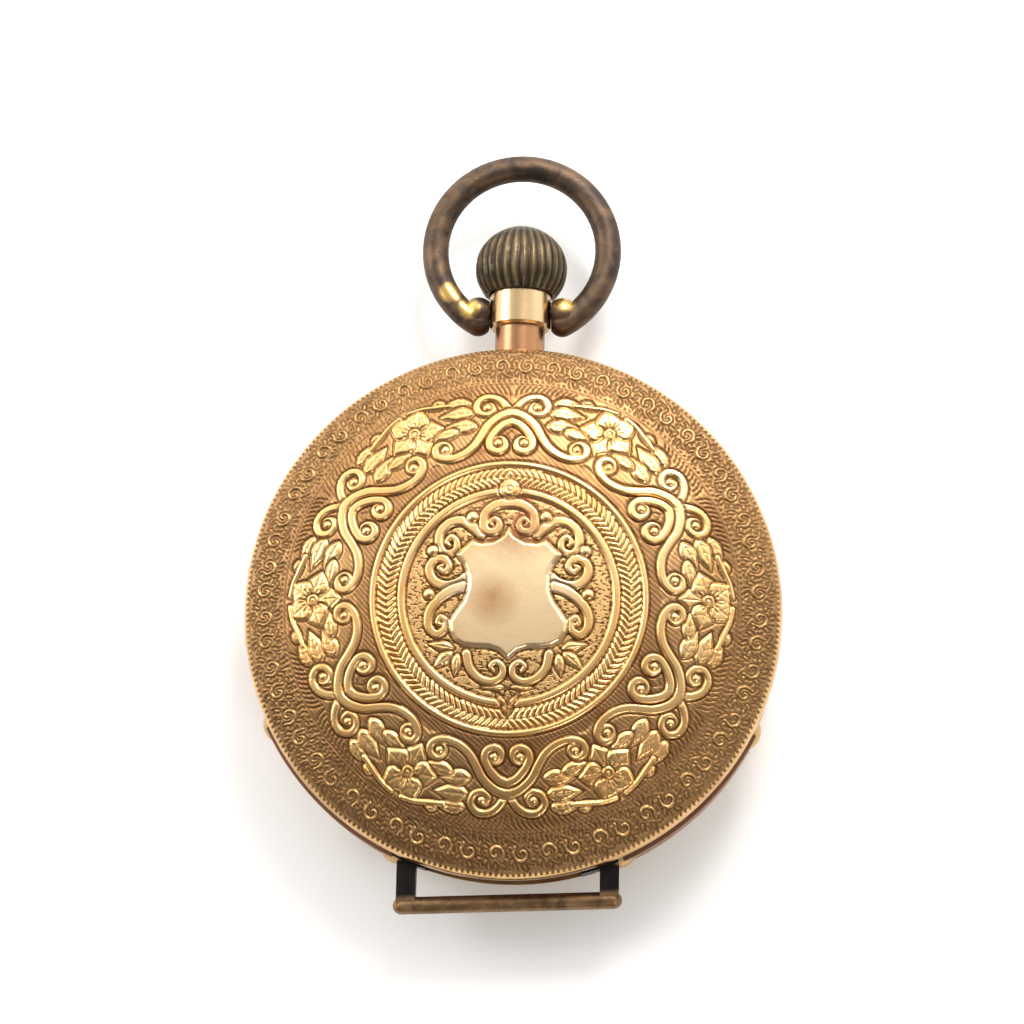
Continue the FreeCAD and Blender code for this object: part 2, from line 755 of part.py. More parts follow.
def make_barrel():
    teeth, module = 80, number(size("barrel_module"))
    z = number(size("barrel_z"))
    height = number(size("barrel_height"))
    wheel = gear_solid(teeth, module, z, 0.25, heading(BARREL, CENTRE))
    wall = rod(4.5, z + 0.25, z + height - 0.15).cut(rod(4.35, z + 0.25, z + height))
    drum = wheel.fuse(wall).cut(rod(0.63, z - 0.2, z + 0.5))
    shaped(drum.removeSplitter(), "barrel_drum", BARREL[0], BARREL[1])
    lid = rod(4.5, z + height - 0.15, z + height).cut(rod(0.63, z, z + 2.0))
    shaped(lid, "barrel_lid", BARREL[0], BARREL[1])
    spring = spiral_solid(1.0, 4.2, 9.0, 0.13, z + 0.3, 0.55)
    shaped(spring, "mainspring", BARREL[0], BARREL[1])
    arbor = rod(0.6, z - 0.45, 5.65).fuse(rod(0.4, 5.6, 5.9))
    shaped(arbor, "barrel_arbor", BARREL[0], BARREL[1])


def make_train():
    centre_m = number(size("centre_module"))
    third_m = number(size("third_module"))
    fourth_m = number(size("fourth_module"))
    to_centre = heading(BARREL, CENTRE)
    to_third = heading(CENTRE, THIRD)
    to_fourth = heading(THIRD, FOURTH)
    to_escape = heading(FOURTH, ESCAPE)
    low, high = 3.1, 5.42
    train_wheel("center_wheel", CENTRE, (80, centre_m, number(size("centre_z")), THIN, to_third),
                (10, number(size("barrel_module")), 3.57, 0.45, to_centre + 198),
                ((0.22, 1.9, 3.6), (0.3, 3.5, 5.0), (0.15, 4.9, high)))
    train_wheel("third_wheel", THIRD, (75, third_m, number(size("third_z")), THIN, to_fourth),
                (10, centre_m, 4.55, 0.42, to_third + 198),
                ((PIVOT, low, 3.6), (0.2, 3.5, 5.0), (PIVOT, 4.9, high)))
    train_wheel("fourth_wheel", FOURTH, (70, fourth_m, number(size("fourth_z")), THIN, to_escape),
                (10, third_m, 3.55, 0.4, to_fourth + 198),
                ((PIVOT, low, 3.6), (0.2, 3.5, 5.0), (PIVOT, 4.9, high)))


def make_escapement():
    z = number(size("escape_z"))
    tip = number(size("escape_radius"))
    points = []
    club_tooth = ((0.72, 0.0), (0.78, 6.0), (1.0, 15.0), (0.97, 18.5), (0.72, 15.5))
    for tooth in range(15):
        for share, offset in club_tooth:
            points.append(polar(tip * share, tooth * 24.0 + offset))
    wheel = polygon_solid(points, z, 0.13).cut(spoke_windows(0.45, tip * 0.6, z, 0.13, 4, 0.07))
    way = heading(FOURTH, ESCAPE)
    pinion = gear_solid(7, number(size("fourth_module")), 4.2, 0.45, way + 180 + 180 / 7.0)
    arbor = [pinion, rod(0.45, z, z + 0.13), rod(0.15, 3.5, 5.0)]
    arbor += [rod(PIVOT, 3.1, 3.6), rod(PIVOT, 4.9, 5.42)]
    shaped(wheel.fuse(arbor).removeSplitter(), "escape_wheel", ESCAPE[0], ESCAPE[1])
    outline_points = [
        (2.5, 0.12), (2.5, 0.26), (2.28, 0.26), (2.2, 0.09), (0.3, 0.14), (0.1, 0.42),
        (-0.62, 1.16), (-0.8, 0.98), (-0.3, 0.45), (-0.24, 0.0), (-0.3, -0.45),
        (-0.8, -0.98), (-0.62, -1.16), (0.1, -0.42), (0.3, -0.14), (2.2, -0.09),
        (2.28, -0.26), (2.5, -0.26), (2.5, -0.12), (2.32, 0.0),
    ]
    fork = polygon_solid(outline_points, z, 0.13)
    fork = fork.fuse([rod(0.08, 3.1, 4.14), rod(0.14, 3.5, 3.98)])
    shaped(fork.removeSplitter(), "pallet_fork", PALLET[0], PALLET[1])
    bar = box(0.9, 4.4, 0.12, PALLET[0] - 0.45, PALLET[1] - 3.9, 4.03)
    foot = box(0.9, 0.9, 0.62, PALLET[0] - 0.45, PALLET[1] - 3.9, PLATE_TOP)
    piece(cut(fuse(bar, foot), cylinder(0.11, 1.0, PALLET[0], PALLET[1], 3.8)), "pallet_cock")


def make_balance():
    z = number(size("balance_z"))
    outer = number(size("balance_radius"))
    rim = rod(outer, z, z + 0.32).cut(rod(outer - 0.42, z, z + 0.32))
    solids = [Part.makeBox(outer * 2 - 0.3, 0.5, 0.14, FreeCAD.Vector(0.15 - outer, -0.25, z + 0.06))]
    for index in range(14):
        screw = Part.makeCylinder(0.11, 0.3, FreeCAD.Vector(outer - 0.15, 0, z + 0.16), X_AXIS)
        screw.rotate(FreeCAD.Vector(), Z_AXIS, 360.0 * (index + 0.5) / 14)
        solids.append(screw)
    staff = rod(0.15, 3.5, 5.2).fuse([rod(0.08, 3.1, 5.6), rod(0.4, 3.96, 4.14), rod(0.28, 4.66, 4.86)])
    shaped(rim.fuse(solids).cut(staff).removeSplitter(), "balance_wheel", BALANCE[0], BALANCE[1])
    shaped(staff.removeSplitter(), "balance_staff", BALANCE[0], BALANCE[1])
    shaped(spiral_solid(0.42, 2.5, 10.0, 0.05, 4.72, 0.1), "hairspring", BALANCE[0], BALANCE[1])


def jewel_hole(axis):
    seat = cylinder(0.36, 0.4, axis[0], axis[1], BRIDGE_TOP - 0.3)
    return [seat, cylinder(0.2, 1.0, axis[0], axis[1], BRIDGE_Z - 0.2)]


def screw_holes(spots):
    return [cylinder(0.25, 0.7, x, y, BRIDGE_TOP - 0.5) for x, y in spots]


BARREL_SCREWS = ((9.4, 8.3), (-9.4, 8.3))
TRAIN_SCREWS = ((-12.0, -4.0), (-6.6, -10.9))
COCK_SCREW = ((8.7, -9.38),)


def make_bridges():
    edge = Size(1.15)
    side = (BRIDGE_R * BRIDGE_R - edge * edge).root()
    upper = padded("upper", [(side, edge, BRIDGE_R, 1), (-side, edge)], BRIDGE_Z, BRIDGE_H)
    clear = BRIDGE_Z - PLATE_TOP
    legs = [sector("leg", 12.2, BRIDGE_R, start, start + 34, PLATE_TOP, clear) for start in (22, 124)]
    tools = [box(3.8, 0.9, 2.0, -1.9, 10.6, BRIDGE_Z - 0.5)]
    tools.append(cylinder(0.63, 2.0, BARREL[0], BARREL[1], BRIDGE_Z - 0.5))
    piece(cut(fuse(upper, *legs), *tools, *screw_holes(BARREL_SCREWS)), "barrel_bridge")

    first = polar(1.0, 176.15)
    last = polar(1.0, 262.0)
    lower = padded("lower", [
        (BRIDGE_R * first[0], BRIDGE_R * first[1], BRIDGE_R, 1), (BRIDGE_R * last[0], BRIDGE_R * last[1]),
        (1.4, -8.8), (1.4, 0.9),
    ], BRIDGE_Z, BRIDGE_H)
    legs = [sector("leg", 11.4, BRIDGE_R, start, start + 26, PLATE_TOP, clear) for start in (186, 230)]
    tools = jewel_hole(THIRD) + jewel_hole(FOURTH) + jewel_hole(ESCAPE) + jewel_hole(CENTRE)
    piece(cut(fuse(lower, *legs), *tools, *screw_holes(TRAIN_SCREWS)), "train_bridge")


def make_balance_cock():
    way = heading(CENTRE, BALANCE)
    across = polar(1.7, way - 90)
    arm = box(6.0, 3.4, BRIDGE_H, BALANCE[0] + across[0], BALANCE[1] + across[1], BRIDGE_Z, turn=way)
    trimmed = common(arm, cylinder(BRIDGE_R, BRIDGE_H, 0, 0, BRIDGE_Z))
    head = cylinder(1.7, BRIDGE_H, BALANCE[0], BALANCE[1], BRIDGE_Z)
    foot = sector("foot", 12.3, BRIDGE_R, way - 13, way + 13, PLATE_TOP, BRIDGE_Z - PLATE_TOP)
    stud = cylinder(0.15, 0.5, BALANCE[0] + 2.75, BALANCE[1], 4.72)
    carrier = box(1.9, 0.5, 0.2, BALANCE[0] + 1.05, BALANCE[1] - 0.25, BRIDGE_Z)
    tools = jewel_hole(BALANCE)
    piece(cut(fuse(trimmed, head, foot, stud, carrier), *tools, *screw_holes(COCK_SCREW)), "balance_cock")
    z = BRIDGE_TOP
    plate = cylinder(1.2, 0.12, BALANCE[0], BALANCE[1], z)
    pointer = box(3.0, 0.3, 0.12, BALANCE[0], BALANCE[1] - 0.15, z, turn=way + 205)
    piece(cut(fuse(plate, pointer), cylinder(0.36, 1.0, BALANCE[0], BALANCE[1], z - 0.3)), "regulator")
    rings = []
    for axis in (CENTRE, THIRD, FOURTH, ESCAPE, BALANCE):
        stone = cylinder(0.36, 0.3, axis[0], axis[1], z - 0.3)
        bore = 0.18 if axis is CENTRE else PIVOT + FIT
        rings.append(cut(stone, cylinder(bore, 1.0, axis[0], axis[1], z - 0.6)))
    piece(group(*rings), "bridge_jewels")


def make_keyless_work():
    module = number(size("winding_module"))
    z = number(size("winding_z"))
    thick = number(size("winding_thick")) - 0.03
    spot = (0.0, size("crown_wheel_y"))
    small = gear_solid(26, module, z + 0.03, thick, 90.0, 0.8)
    shaped(small, "crown_wheel", 0, spot[1])
    phase = partner_phase(90.0, 26, 40, heading(spot, BARREL))
    shaped(gear_solid(40, module, z + 0.03, thick, phase, 0.4), "ratchet_wheel", BARREL[0], BARREL[1])
    hub = cylinder(0.77, 0.33, 0, spot[1], BRIDGE_TOP)
    head = cylinder(1.25, 0.22, 0, spot[1], BRIDGE_TOP + 0.33)
    slot = box(3.0, 0.25, 0.2, -1.5, spot[1] - 0.125, BRIDGE_TOP + 0.45)
    piece(cut(fuse(hub, head), slot), "crown_wheel_screw")
    cap = cylinder(0.95, 0.25, BARREL[0], BARREL[1], 5.9)
    slot = box(2.4, 0.25, 0.2, BARREL[0] - 1.2, BARREL[1] - 0.125, 6.05)
    piece(cut(cap, slot), "ratchet_screw")
    pinion = gear_solid(16, module, 0, 0.5, 90.0 + 11.25, number(STEM_R))
    shaped(pinion, "winding_pinion", 0, size("crown_wheel_y") + 2.4, STEM_Z, Y_AXIS)
    clutch = gear_solid(10, 0.12, 0, 0.9, 0.0, number(STEM_R))
    shaped(clutch, "sliding_pinion", 0, size("crown_wheel_y") + 0.7, STEM_Z, Y_AXIS)
    way = 12.0
    pivot = polar(5.4, way)
    body = cylinder(0.65, 0.2, BARREL[0] + pivot[0], BARREL[1] + pivot[1], BRIDGE_TOP)
    finger = box(1.5, 0.4, 0.2, BARREL[0] + pivot[0], BARREL[1] + pivot[1], BRIDGE_TOP, turn=way + 140)
    clear = cylinder(4.28, 1.0, BARREL[0], BARREL[1], BRIDGE_TOP - 0.2)
    piece(cut(fuse(body, finger), clear), "click")
    wire = sector("click_wire", 6.3, 6.42, way - 5, way + 42, BRIDGE_TOP, 0.14)
    place(wire, BARREL[0], BARREL[1], BRIDGE_TOP)
    piece(wire, "click_spring")


def make_screws():
    solids = []
    for x, y in BARREL_SCREWS + TRAIN_SCREWS + COCK_SCREW:
        whole = fuse(cylinder(0.6, 0.2, x, y, BRIDGE_TOP), cylinder(0.25, 0.5, x, y, BRIDGE_TOP - 0.5))
        solids.append(cut(whole, box(1.4, 0.16, 0.2, x - 0.7, y - 0.08, BRIDGE_TOP + 0.1)))
    piece(group(*solids), "bridge_screws")
    solids = []
    for angle in (-10.0, 178.0):
        x, y = polar(13.0, angle)
        whole = fuse(cylinder(0.5, 0.25, x, y, PLATE_TOP), cylinder(0.2, 0.85, x, y, PLATE_TOP - 0.85))
        solids.append(cut(whole, box(1.2, 0.14, 0.2, x - 0.6, y - 0.07, PLATE_TOP + 0.13)))
    piece(group(*solids), "case_screws")


def finish():
    """Check every object, then write one STEP file for each sub-part."""
    DOC.recompute()
    for each in DOC.Objects:
        if "Invalid" in each.State or "Error" in each.State:
            raise RuntimeError(f"{each.Label} failed to build: {each.State}")
    for each in PIECES:
        if each.Shape.isNull() or not each.Shape.isValid():
            raise RuntimeError(f"{each.Label} has no valid shape")
        each.Shape.exportStep(f"parts/{each.Label}.step")


make_case_band()
make_back_cover()
make_inner_cover()
make_case_knuckles()
make_hinge_pins()
make_front()
make_pendant()
make_crown()
make_bow()
make_setting_pin()
make_strap_bar()
make_lug_strips()
make_dial()
make_hands()
make_motion_work()
make_main_plate()
make_barrel()
make_train()
make_escapement()
make_balance()
make_bridges()
make_balance_cock()
make_keyless_work()
make_screws()
finish()
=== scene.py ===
import json
import math

import bpy
import numpy as np
from mathutils import Matrix, Vector


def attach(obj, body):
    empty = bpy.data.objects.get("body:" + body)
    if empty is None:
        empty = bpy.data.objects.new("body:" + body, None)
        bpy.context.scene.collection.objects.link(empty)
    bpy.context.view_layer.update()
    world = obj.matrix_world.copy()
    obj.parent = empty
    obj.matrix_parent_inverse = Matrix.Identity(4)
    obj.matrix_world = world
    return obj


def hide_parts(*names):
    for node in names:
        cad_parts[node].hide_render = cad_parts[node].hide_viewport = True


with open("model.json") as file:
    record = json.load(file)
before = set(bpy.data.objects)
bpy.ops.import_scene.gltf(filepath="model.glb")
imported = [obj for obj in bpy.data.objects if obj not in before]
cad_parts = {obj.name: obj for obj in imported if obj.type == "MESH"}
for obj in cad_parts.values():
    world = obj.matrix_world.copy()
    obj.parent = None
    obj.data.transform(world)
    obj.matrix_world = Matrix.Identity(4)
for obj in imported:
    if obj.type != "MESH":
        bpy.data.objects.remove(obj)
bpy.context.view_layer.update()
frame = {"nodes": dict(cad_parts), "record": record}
MM = 0.001


# ---------------------------------------------------------------- camera
def look_at(position, target, roll_deg):
    """Camera or lamp matrix at a position (mm), facing a target, turned about its own axis."""
    back = (Vector(position) - Vector(target)).normalized()
    right = Vector((0, 1, 0)).cross(back).normalized()
    up = back.cross(right)
    basis = Matrix((right, up, back)).transposed().to_4x4()
    return Matrix.Translation(Vector(position) * MM) @ basis @ Matrix.Rotation(math.radians(roll_deg), 4, "Z")


TARGET = (-0.22, 6.54, 5.0)
DISTANCE = 170.6
tilt_y, tilt_x = math.radians(12.3), math.radians(2.7)
view_way = Vector((math.sin(tilt_x), -math.sin(tilt_y), math.cos(tilt_y))).normalized()
camera_data = bpy.data.cameras.new("camera")
camera_data.lens = 93.6
camera_data.sensor_width = 36.0
camera_data.clip_start = 0.001
camera_data.clip_end = 10.0
camera = bpy.data.objects.new("camera", camera_data)
bpy.context.collection.objects.link(camera)
camera.matrix_world = look_at(Vector(TARGET) + view_way * DISTANCE, TARGET, 1.3)
bpy.context.scene.camera = camera
bpy.context.scene.view_settings.view_transform = "Standard"


def area_light(name, position, target, size, power, color):
    data = bpy.data.lights.new(name, "AREA")
    data.shape = "RECTANGLE"
    data.size = size[0] * MM
    data.size_y = size[1] * MM
    data.energy = power
    data.color = color
    lamp = bpy.data.objects.new(name, data)
    bpy.context.collection.objects.link(lamp)
    lamp.matrix_world = look_at(position, target, 0.0)


# ---------------------------------------------------------------- node helpers
def new_material(name):
    material = bpy.data.materials.new(name)
    material.use_nodes = True
    tree = material.node_tree
    tree.nodes.clear()
    out = tree.nodes.new("ShaderNodeOutputMaterial")
    shader = tree.nodes.new("ShaderNodeBsdfPrincipled")
    tree.links.new(shader.outputs["BSDF"], out.inputs["Surface"])
    return material, tree, shader


def node(tree, kind, **values):
    """Add a node, set its properties and its input sockets, and link sockets given as links."""
    made = tree.nodes.new("ShaderNode" + kind)
    for key, value in values.items():
        if key[0] != "_":
            setattr(made, key, value)
            continue
        name = key[1:].replace("_", " ")
        socket = made.inputs[int(name)] if name.isdigit() else made.inputs[name]
        if isinstance(value, bpy.types.NodeSocket):
            tree.links.new(value, socket)
        else:
            socket.default_value = value
    return made


def math_node(tree, operation, first, second=0.0):
    return node(tree, "Math", operation=operation, _0=first, _1=second).outputs[0]


def ramp(tree, factor, stops):
    made = node(tree, "ValToRGB", _Fac=factor)
    elements = made.color_ramp.elements
    while len(elements) < len(stops):
        elements.new(0.5)
    for element, (place, color) in zip(elements, stops):
        element.position = place
        element.color = (*color, 1.0) if len(color) == 3 else color
    return made.outputs["Color"]


def remap(tree, value, low, high, new_low, new_high):
    return node(tree, "MapRange", _Value=value, _From_Min=low, _From_Max=high, _To_Min=new_low,
                _To_Max=new_high).outputs["Result"]


def blend_color(tree, factor, first, second, mode="MIX"):
    made = node(tree, "MixRGB", blend_type=mode, _Fac=factor)
    for socket, value in ((made.inputs[1], first), (made.inputs[2], second)):
        if isinstance(value, bpy.types.NodeSocket):
            tree.links.new(value, socket)
        else:
            socket.default_value = (*value, 1.0)
    return made.outputs[0]


def noise(tree, coords, scale, detail=4.0, rough=0.55, distortion=0.0):
    return node(tree, "TexNoise", _Vector=coords, _Scale=scale, _Detail=detail, _Roughness=rough,
                _Distortion=distortion).outputs["Fac"]


def position(tree):
    return node(tree, "TexCoord").outputs["Object"]


def away_from(tree, coords, centre):
    """Distance in metres from a point given in mm."""
    gap = node(tree, "VectorMath", operation="SUBTRACT", _0=coords, _1=tuple(v * MM for v in centre))
    return node(tree, "VectorMath", operation="LENGTH", _0=gap.outputs[0]).outputs["Value"]


def bump(tree, height, strength, distance):
    return node(tree, "Bump", _Strength=strength, _Distance=distance * MM, _Height=height).outputs["Normal"]


def worn_metal(name, clean, tarnish, dark, roughness, amount=0.5, grain=0.01, painted_highlight_spots=()):
    """Metal with blotchy tarnish, fine grain, uneven polish, sharp edges lightened by rubbing and by painted
    highlight, and painted highlight patches near given points.
    """
    material, tree, shader = new_material(name)
    coords = position(tree)
    blotch = noise(tree, coords, 260.0, 6.0, 0.6, 0.6)
    fine = noise(tree, coords, 2600.0, 4.0, 0.6)
    stretched = node(tree, "Mapping", _Vector=coords, _Scale=(1.0, 7.0, 1.0)).outputs[0]
    streak = noise(tree, stretched, 900.0, 3.0)
    sharp_edges = node(tree, "NewGeometry").outputs["Pointiness"]
    edge = remap(tree, sharp_edges, 0.49, 0.56, 0.0, 1.0)
    cover = remap(tree, blotch, 0.5 - amount * 0.25, 0.72 - amount * 0.25, 0.0, 1.0)
    base = blend_color(tree, cover, clean, tarnish)
    spots = remap(tree, fine, 0.55, 0.75, 0.0, 0.75 * amount)
    base = blend_color(tree, spots, base, dark)
    # Sharp edges lightened toward the clean colour: edge wear plus painted highlight.
    base = blend_color(tree, math_node(tree, "MULTIPLY", edge, 0.7), base, clean)
    # Painted highlight: blotchy bright gold patches round the given points.
    for centre in painted_highlight_spots:
        near = remap(tree, away_from(tree, coords, centre), 0.0013, 0.0009, 0.0, 1.3)
        highlight_patch = math_node(tree, "MULTIPLY", near, blotch)
        base = blend_color(tree, highlight_patch, base, (0.80, 0.55, 0.24))
    tree.links.new(base, shader.inputs["Base Color"])
    shader.inputs["Metallic"].default_value = 1.0
    uneven = remap(tree, blotch, 0.3, 0.75, roughness * 0.75, min(roughness * 1.5, 0.9))
    uneven = math_node(tree, "ADD", uneven, math_node(tree, "MULTIPLY", fine, 0.08))
    tree.links.new(uneven, shader.inputs["Roughness"])
    height = math_node(tree, "ADD", fine, math_node(tree, "MULTIPLY", streak, 0.5))
    tree.links.new(bump(tree, height, 0.35, grain), shader.inputs["Normal"])
    return material


# ---------------------------------------------------------------- relief drawing
def smooth(value):
    value = np.clip(value, 0.0, 1.0)
    return value * value * (3.0 - 2.0 * value)


def through(points, count=10):
    """Smooth curve through points (Catmull-Rom)."""
    pts = np.array(points, float)
    pts = np.vstack([2 * pts[0] - pts[1], pts, 2 * pts[-1] - pts[-2]])
    out = []
    for i in range(1, len(pts) - 2):
        a, b, c, d = pts[i - 1:i + 3]
        for t in np.linspace(0, 1, count, endpoint=False):
            out.append(0.5 * (2 * b + (c - a) * t + (2 * a - 5 * b + 4 * c - d) * t * t
                              + (3 * b - a - 3 * c + d) * t ** 3))
    out.append(pts[-2])
    return np.array(out)


class Field:
    """A small grid of heights and engraved lines, in mm."""

    def __init__(self, x0, x1, y0, y1, step=0.02):
        self.x0, self.y0, self.step = x0, y0, step
        self.x = np.arange(x0, x1 + step, step)
        self.y = np.arange(y0, y1 + step, step)
        self.height = np.zeros((len(self.y), len(self.x)))
        self.line = np.zeros_like(self.height)
        self.ground = np.ones_like(self.height)

    def window(self, low, high):
        i0, i1 = np.searchsorted(self.x, (low[0], high[0]))
        j0, j1 = np.searchsorted(self.y, (low[1], high[1]))
        return slice(j0, j1), slice(i0, i1)

    def stroke_distance(self, path, widths):
        """Signed distance to a thick line: negative inside."""
        away = np.full(self.height.shape, 9.0)
        for (a, b), (wa, wb) in zip(zip(path[:-1], path[1:]), zip(widths[:-1], widths[1:])):
            reach = max(wa, wb) + 0.35
            part = self.window(np.minimum(a, b) - reach, np.maximum(a, b) + reach)
            gx, gy = np.meshgrid(self.x[part[1]], self.y[part[0]])
            d = b - a
            t = np.clip(((gx - a[0]) * d[0] + (gy - a[1]) * d[1]) / (d @ d + 1e-12), 0, 1)
            far = np.hypot(gx - a[0] - t * d[0], gy - a[1] - t * d[1]) - (wa + (wb - wa) * t)
            away[part] = np.minimum(away[part], far)
        return away

    def area_distance(self, corners):
        """Signed distance to a closed outline: negative inside."""
        ring = np.vstack([corners, corners[:1]])
        away = np.abs(self.stroke_distance(ring, np.zeros(len(ring))))
        gx, gy = np.meshgrid(self.x, self.y)
        inside = np.zeros(gx.shape, bool)
        for a, b in zip(ring[:-1], ring[1:]):
            if a[1] == b[1]:
                continue
            crosses = (gy < a[1]) != (gy < b[1])
            inside ^= crosses & (gx < (b[0] - a[0]) * (gy - a[1]) / (b[1] - a[1]) + a[0])
        return np.where(inside, -away, away)

    def raise_shape(self, away, top, edge=0.09, crown=0.0, line=1.0, groove=0.07):
        """Lay a raised shape over what is there, with an engraved line round it."""
        rise = top * smooth(-away / edge) + crown * smooth(-away / 0.4)
        inside = away < 0
        self.height = np.where(inside, np.maximum(rise, self.height * 0.35), self.height)
        self.line = np.where(inside, 0.0, self.line)
        self.ground = np.where(inside, 0.0, self.ground)
        self.line = np.maximum(self.line, line * np.exp(-((away - 0.03) / groove) ** 2))

    def strap(self, points, start=0.2, end=0.14, top=0.11, **more):
        path = through(points)
        widths = np.linspace(0, 1, len(path))
        widths = start + (end - start) * widths ** 1.5
        self.raise_shape(self.stroke_distance(path, widths), top, **more)
        spine = self.stroke_distance(path, np.zeros(len(path)))
        self.line = np.maximum(self.line, 0.22 * np.exp(-((spine
                                                           - start * 0.62) / 0.022) ** 2) * (spine < start))

    def disc(self, x, y, radius, top=0.12, **more):
        gx, gy = np.meshgrid(self.x, self.y)
        self.raise_shape(np.hypot(gx - x, gy - y) - radius, top * 0.5, crown=top * 0.8, **more)

    def leaf(self, base, tip, width, top=0.1, veins=3):
        """Pointed leaf from base to tip, with engraved veins."""
        base, tip = np.array(base, float), np.array(tip, float)
        along = tip - base
        across = np.array((-along[1], along[0]))
        across /= np.hypot(*across)
        t = np.linspace(0, 1, 16)
        bulge = width * np.sin(np.pi * t ** 0.8) * (1 - 0.25 * t)
        rim = np.vstack([base + along * t[:, None] + across * bulge[:, None],
                         (base + along * t[:, None] - across * bulge[:, None])[::-1][1:-1]])
        self.raise_shape(self.area_distance(rim), top, edge=0.22)
        self.engrave([base, base + along * 0.85], 0.03, 0.7)
        for k in range(veins):
            root = base + along * (0.2 + 0.22 * k)
            for side in (-1, 1):
                self.engrave([root, root + along * 0.16 + across * side * width * 0.62], 0.022, 0.45)

    def engrave(self, points, width=0.035, depth=0.8):
        path = np.array(points, float)
        away = self.stroke_distance(path, np.zeros(len(path)))
        self.line = np.maximum(self.line, depth * np.exp(-(away / width) ** 2))

    def sample(self, layer, x, y):
        """Read a layer at points, between grid values."""
        u = np.clip((x - self.x0) / self.step, 0, layer.shape[1] - 1.001)
        v = np.clip((y - self.y0) / self.step, 0, layer.shape[0] - 1.001)
        i, j = u.astype(int), v.astype(int)
        fu, fv = u - i, v - j
        return ((layer[j, i] * (1 - fu) + layer[j, i + 1] * fu) * (1 - fv)
                + (layer[j + 1, i] * (1 - fu) + layer[j + 1, i + 1] * fu) * fv)


def draw_medallion():
    """Right half of the round medallion: shield, scrolls, balls, ivy leaves and palmette."""
    field = Field(-0.6, 7.2, -7.8, 7.8)
    half = [(0, 4.42), (0.4, 3.85), (1.0, 3.5), (1.7, 3.42), (2.35, 3.6), (3.35, 2.6), (2.85, 1.95),
            (2.58, 1.25),
            (2.58, 0.5), (2.85, -0.3), (3.35, -1.0), (3.72, -1.6), (3.68, -2.3), (3.3, -2.9), (2.7, -3.22),
            (2.0, -3.3), (1.2, -3.32), (0.6, -3.52), (0, -4.05)]
    rim = np.vstack([np.array(half), [(-x, y) for x, y in half[::-1][1:-1]]])
    for base, tip, width in (((3.3, -3.3), (5.0, -3.0), 0.42), ((3.4, -3.5), (4.7, -4.6), 0.45),
                             ((3.1, -3.6), (3.3, -5.1), 0.4), ((0.15, -5.7), (1.7, -5.75), 0.22)):
        field.leaf(base, tip, width, veins=2)
    for points, start in (
        ([(1.75, 3.9), (2.2, 4.3), (2.9, 4.75), (3.7, 4.65), (4.3, 4.05), (4.35, 3.2), (3.9, 2.65),
          (3.35, 2.85),
          (3.25, 3.4), (3.6, 3.75), (3.9, 3.4), (3.7, 3.2)], 0.36),
        ([(2.6, 1.15), (3.1, 0.78), (3.9, 0.62), (4.65, 0.95), (4.95, 1.7), (4.6, 2.3), (4.0, 2.3),
          (3.7, 1.85),
          (4.0, 1.5), (4.35, 1.75), (4.15, 1.9)], 0.36),
        ([(2.8, 0.55), (3.6, 0.28), (4.4, -0.3), (4.92, -1.1), (4.92, -1.95), (4.45, -2.42), (3.95, -2.15),
          (3.85, -1.65), (4.2, -1.35), (4.4, -1.7), (4.2, -1.8)], 0.35),
        ([(2.55, -3.65), (2.35, -4.5), (1.75, -5.15), (0.95, -5.35), (0.35, -5.0), (0.32, -4.45),
          (0.7, -4.15),
          (1.05, -4.4), (0.85, -4.7)], 0.3),
        ([(-0.3, 5.95), (0.3, 5.93), (0.95, 5.75), (1.5, 5.25), (1.62, 4.6), (1.35, 4.1), (0.8, 4.1),
          (0.6, 4.55),
          (0.9, 4.9), (1.2, 4.65), (1.02, 4.45)], 0.36),
    ):
        field.strap(points, start, 0.15)
    for x, y, radius in ((2.3, 5.02, 0.4), (4.78, 2.85, 0.38), (4.95, 0.1, 0.38)):
        field.disc(x, y, radius)
    field.raise_shape(field.area_distance(rim), 0.15, edge=0.3, line=1.0, groove=0.08)
    return field


def draw_ring_marks():
    """Boss at the top and palmette at the bottom of the inner ring."""
    field = Field(-1.6, 1.6, -8.0, 8.0)
    field.disc(0, 6.84, 0.68, 0.13, groove=0.07)
    for radius, depth in ((0.48, 0.8), (0.2, 0.6)):
        path = [(radius * math.cos(a), 6.84 + radius * math.sin(a)) for a in np.linspace(0, 2 * math.pi, 40)]
        field.engrave(path, 0.035, depth)
    field.leaf((0, -7.5), (0.0, -5.75), 0.42, 0.14, 1)
    field.leaf((0.05, -6.9), (0.75, -6.0), 0.2, 0.12, 0)
    field.leaf((-0.05, -6.9), (-0.75, -6.0), 0.2, 0.12, 0)
    return field


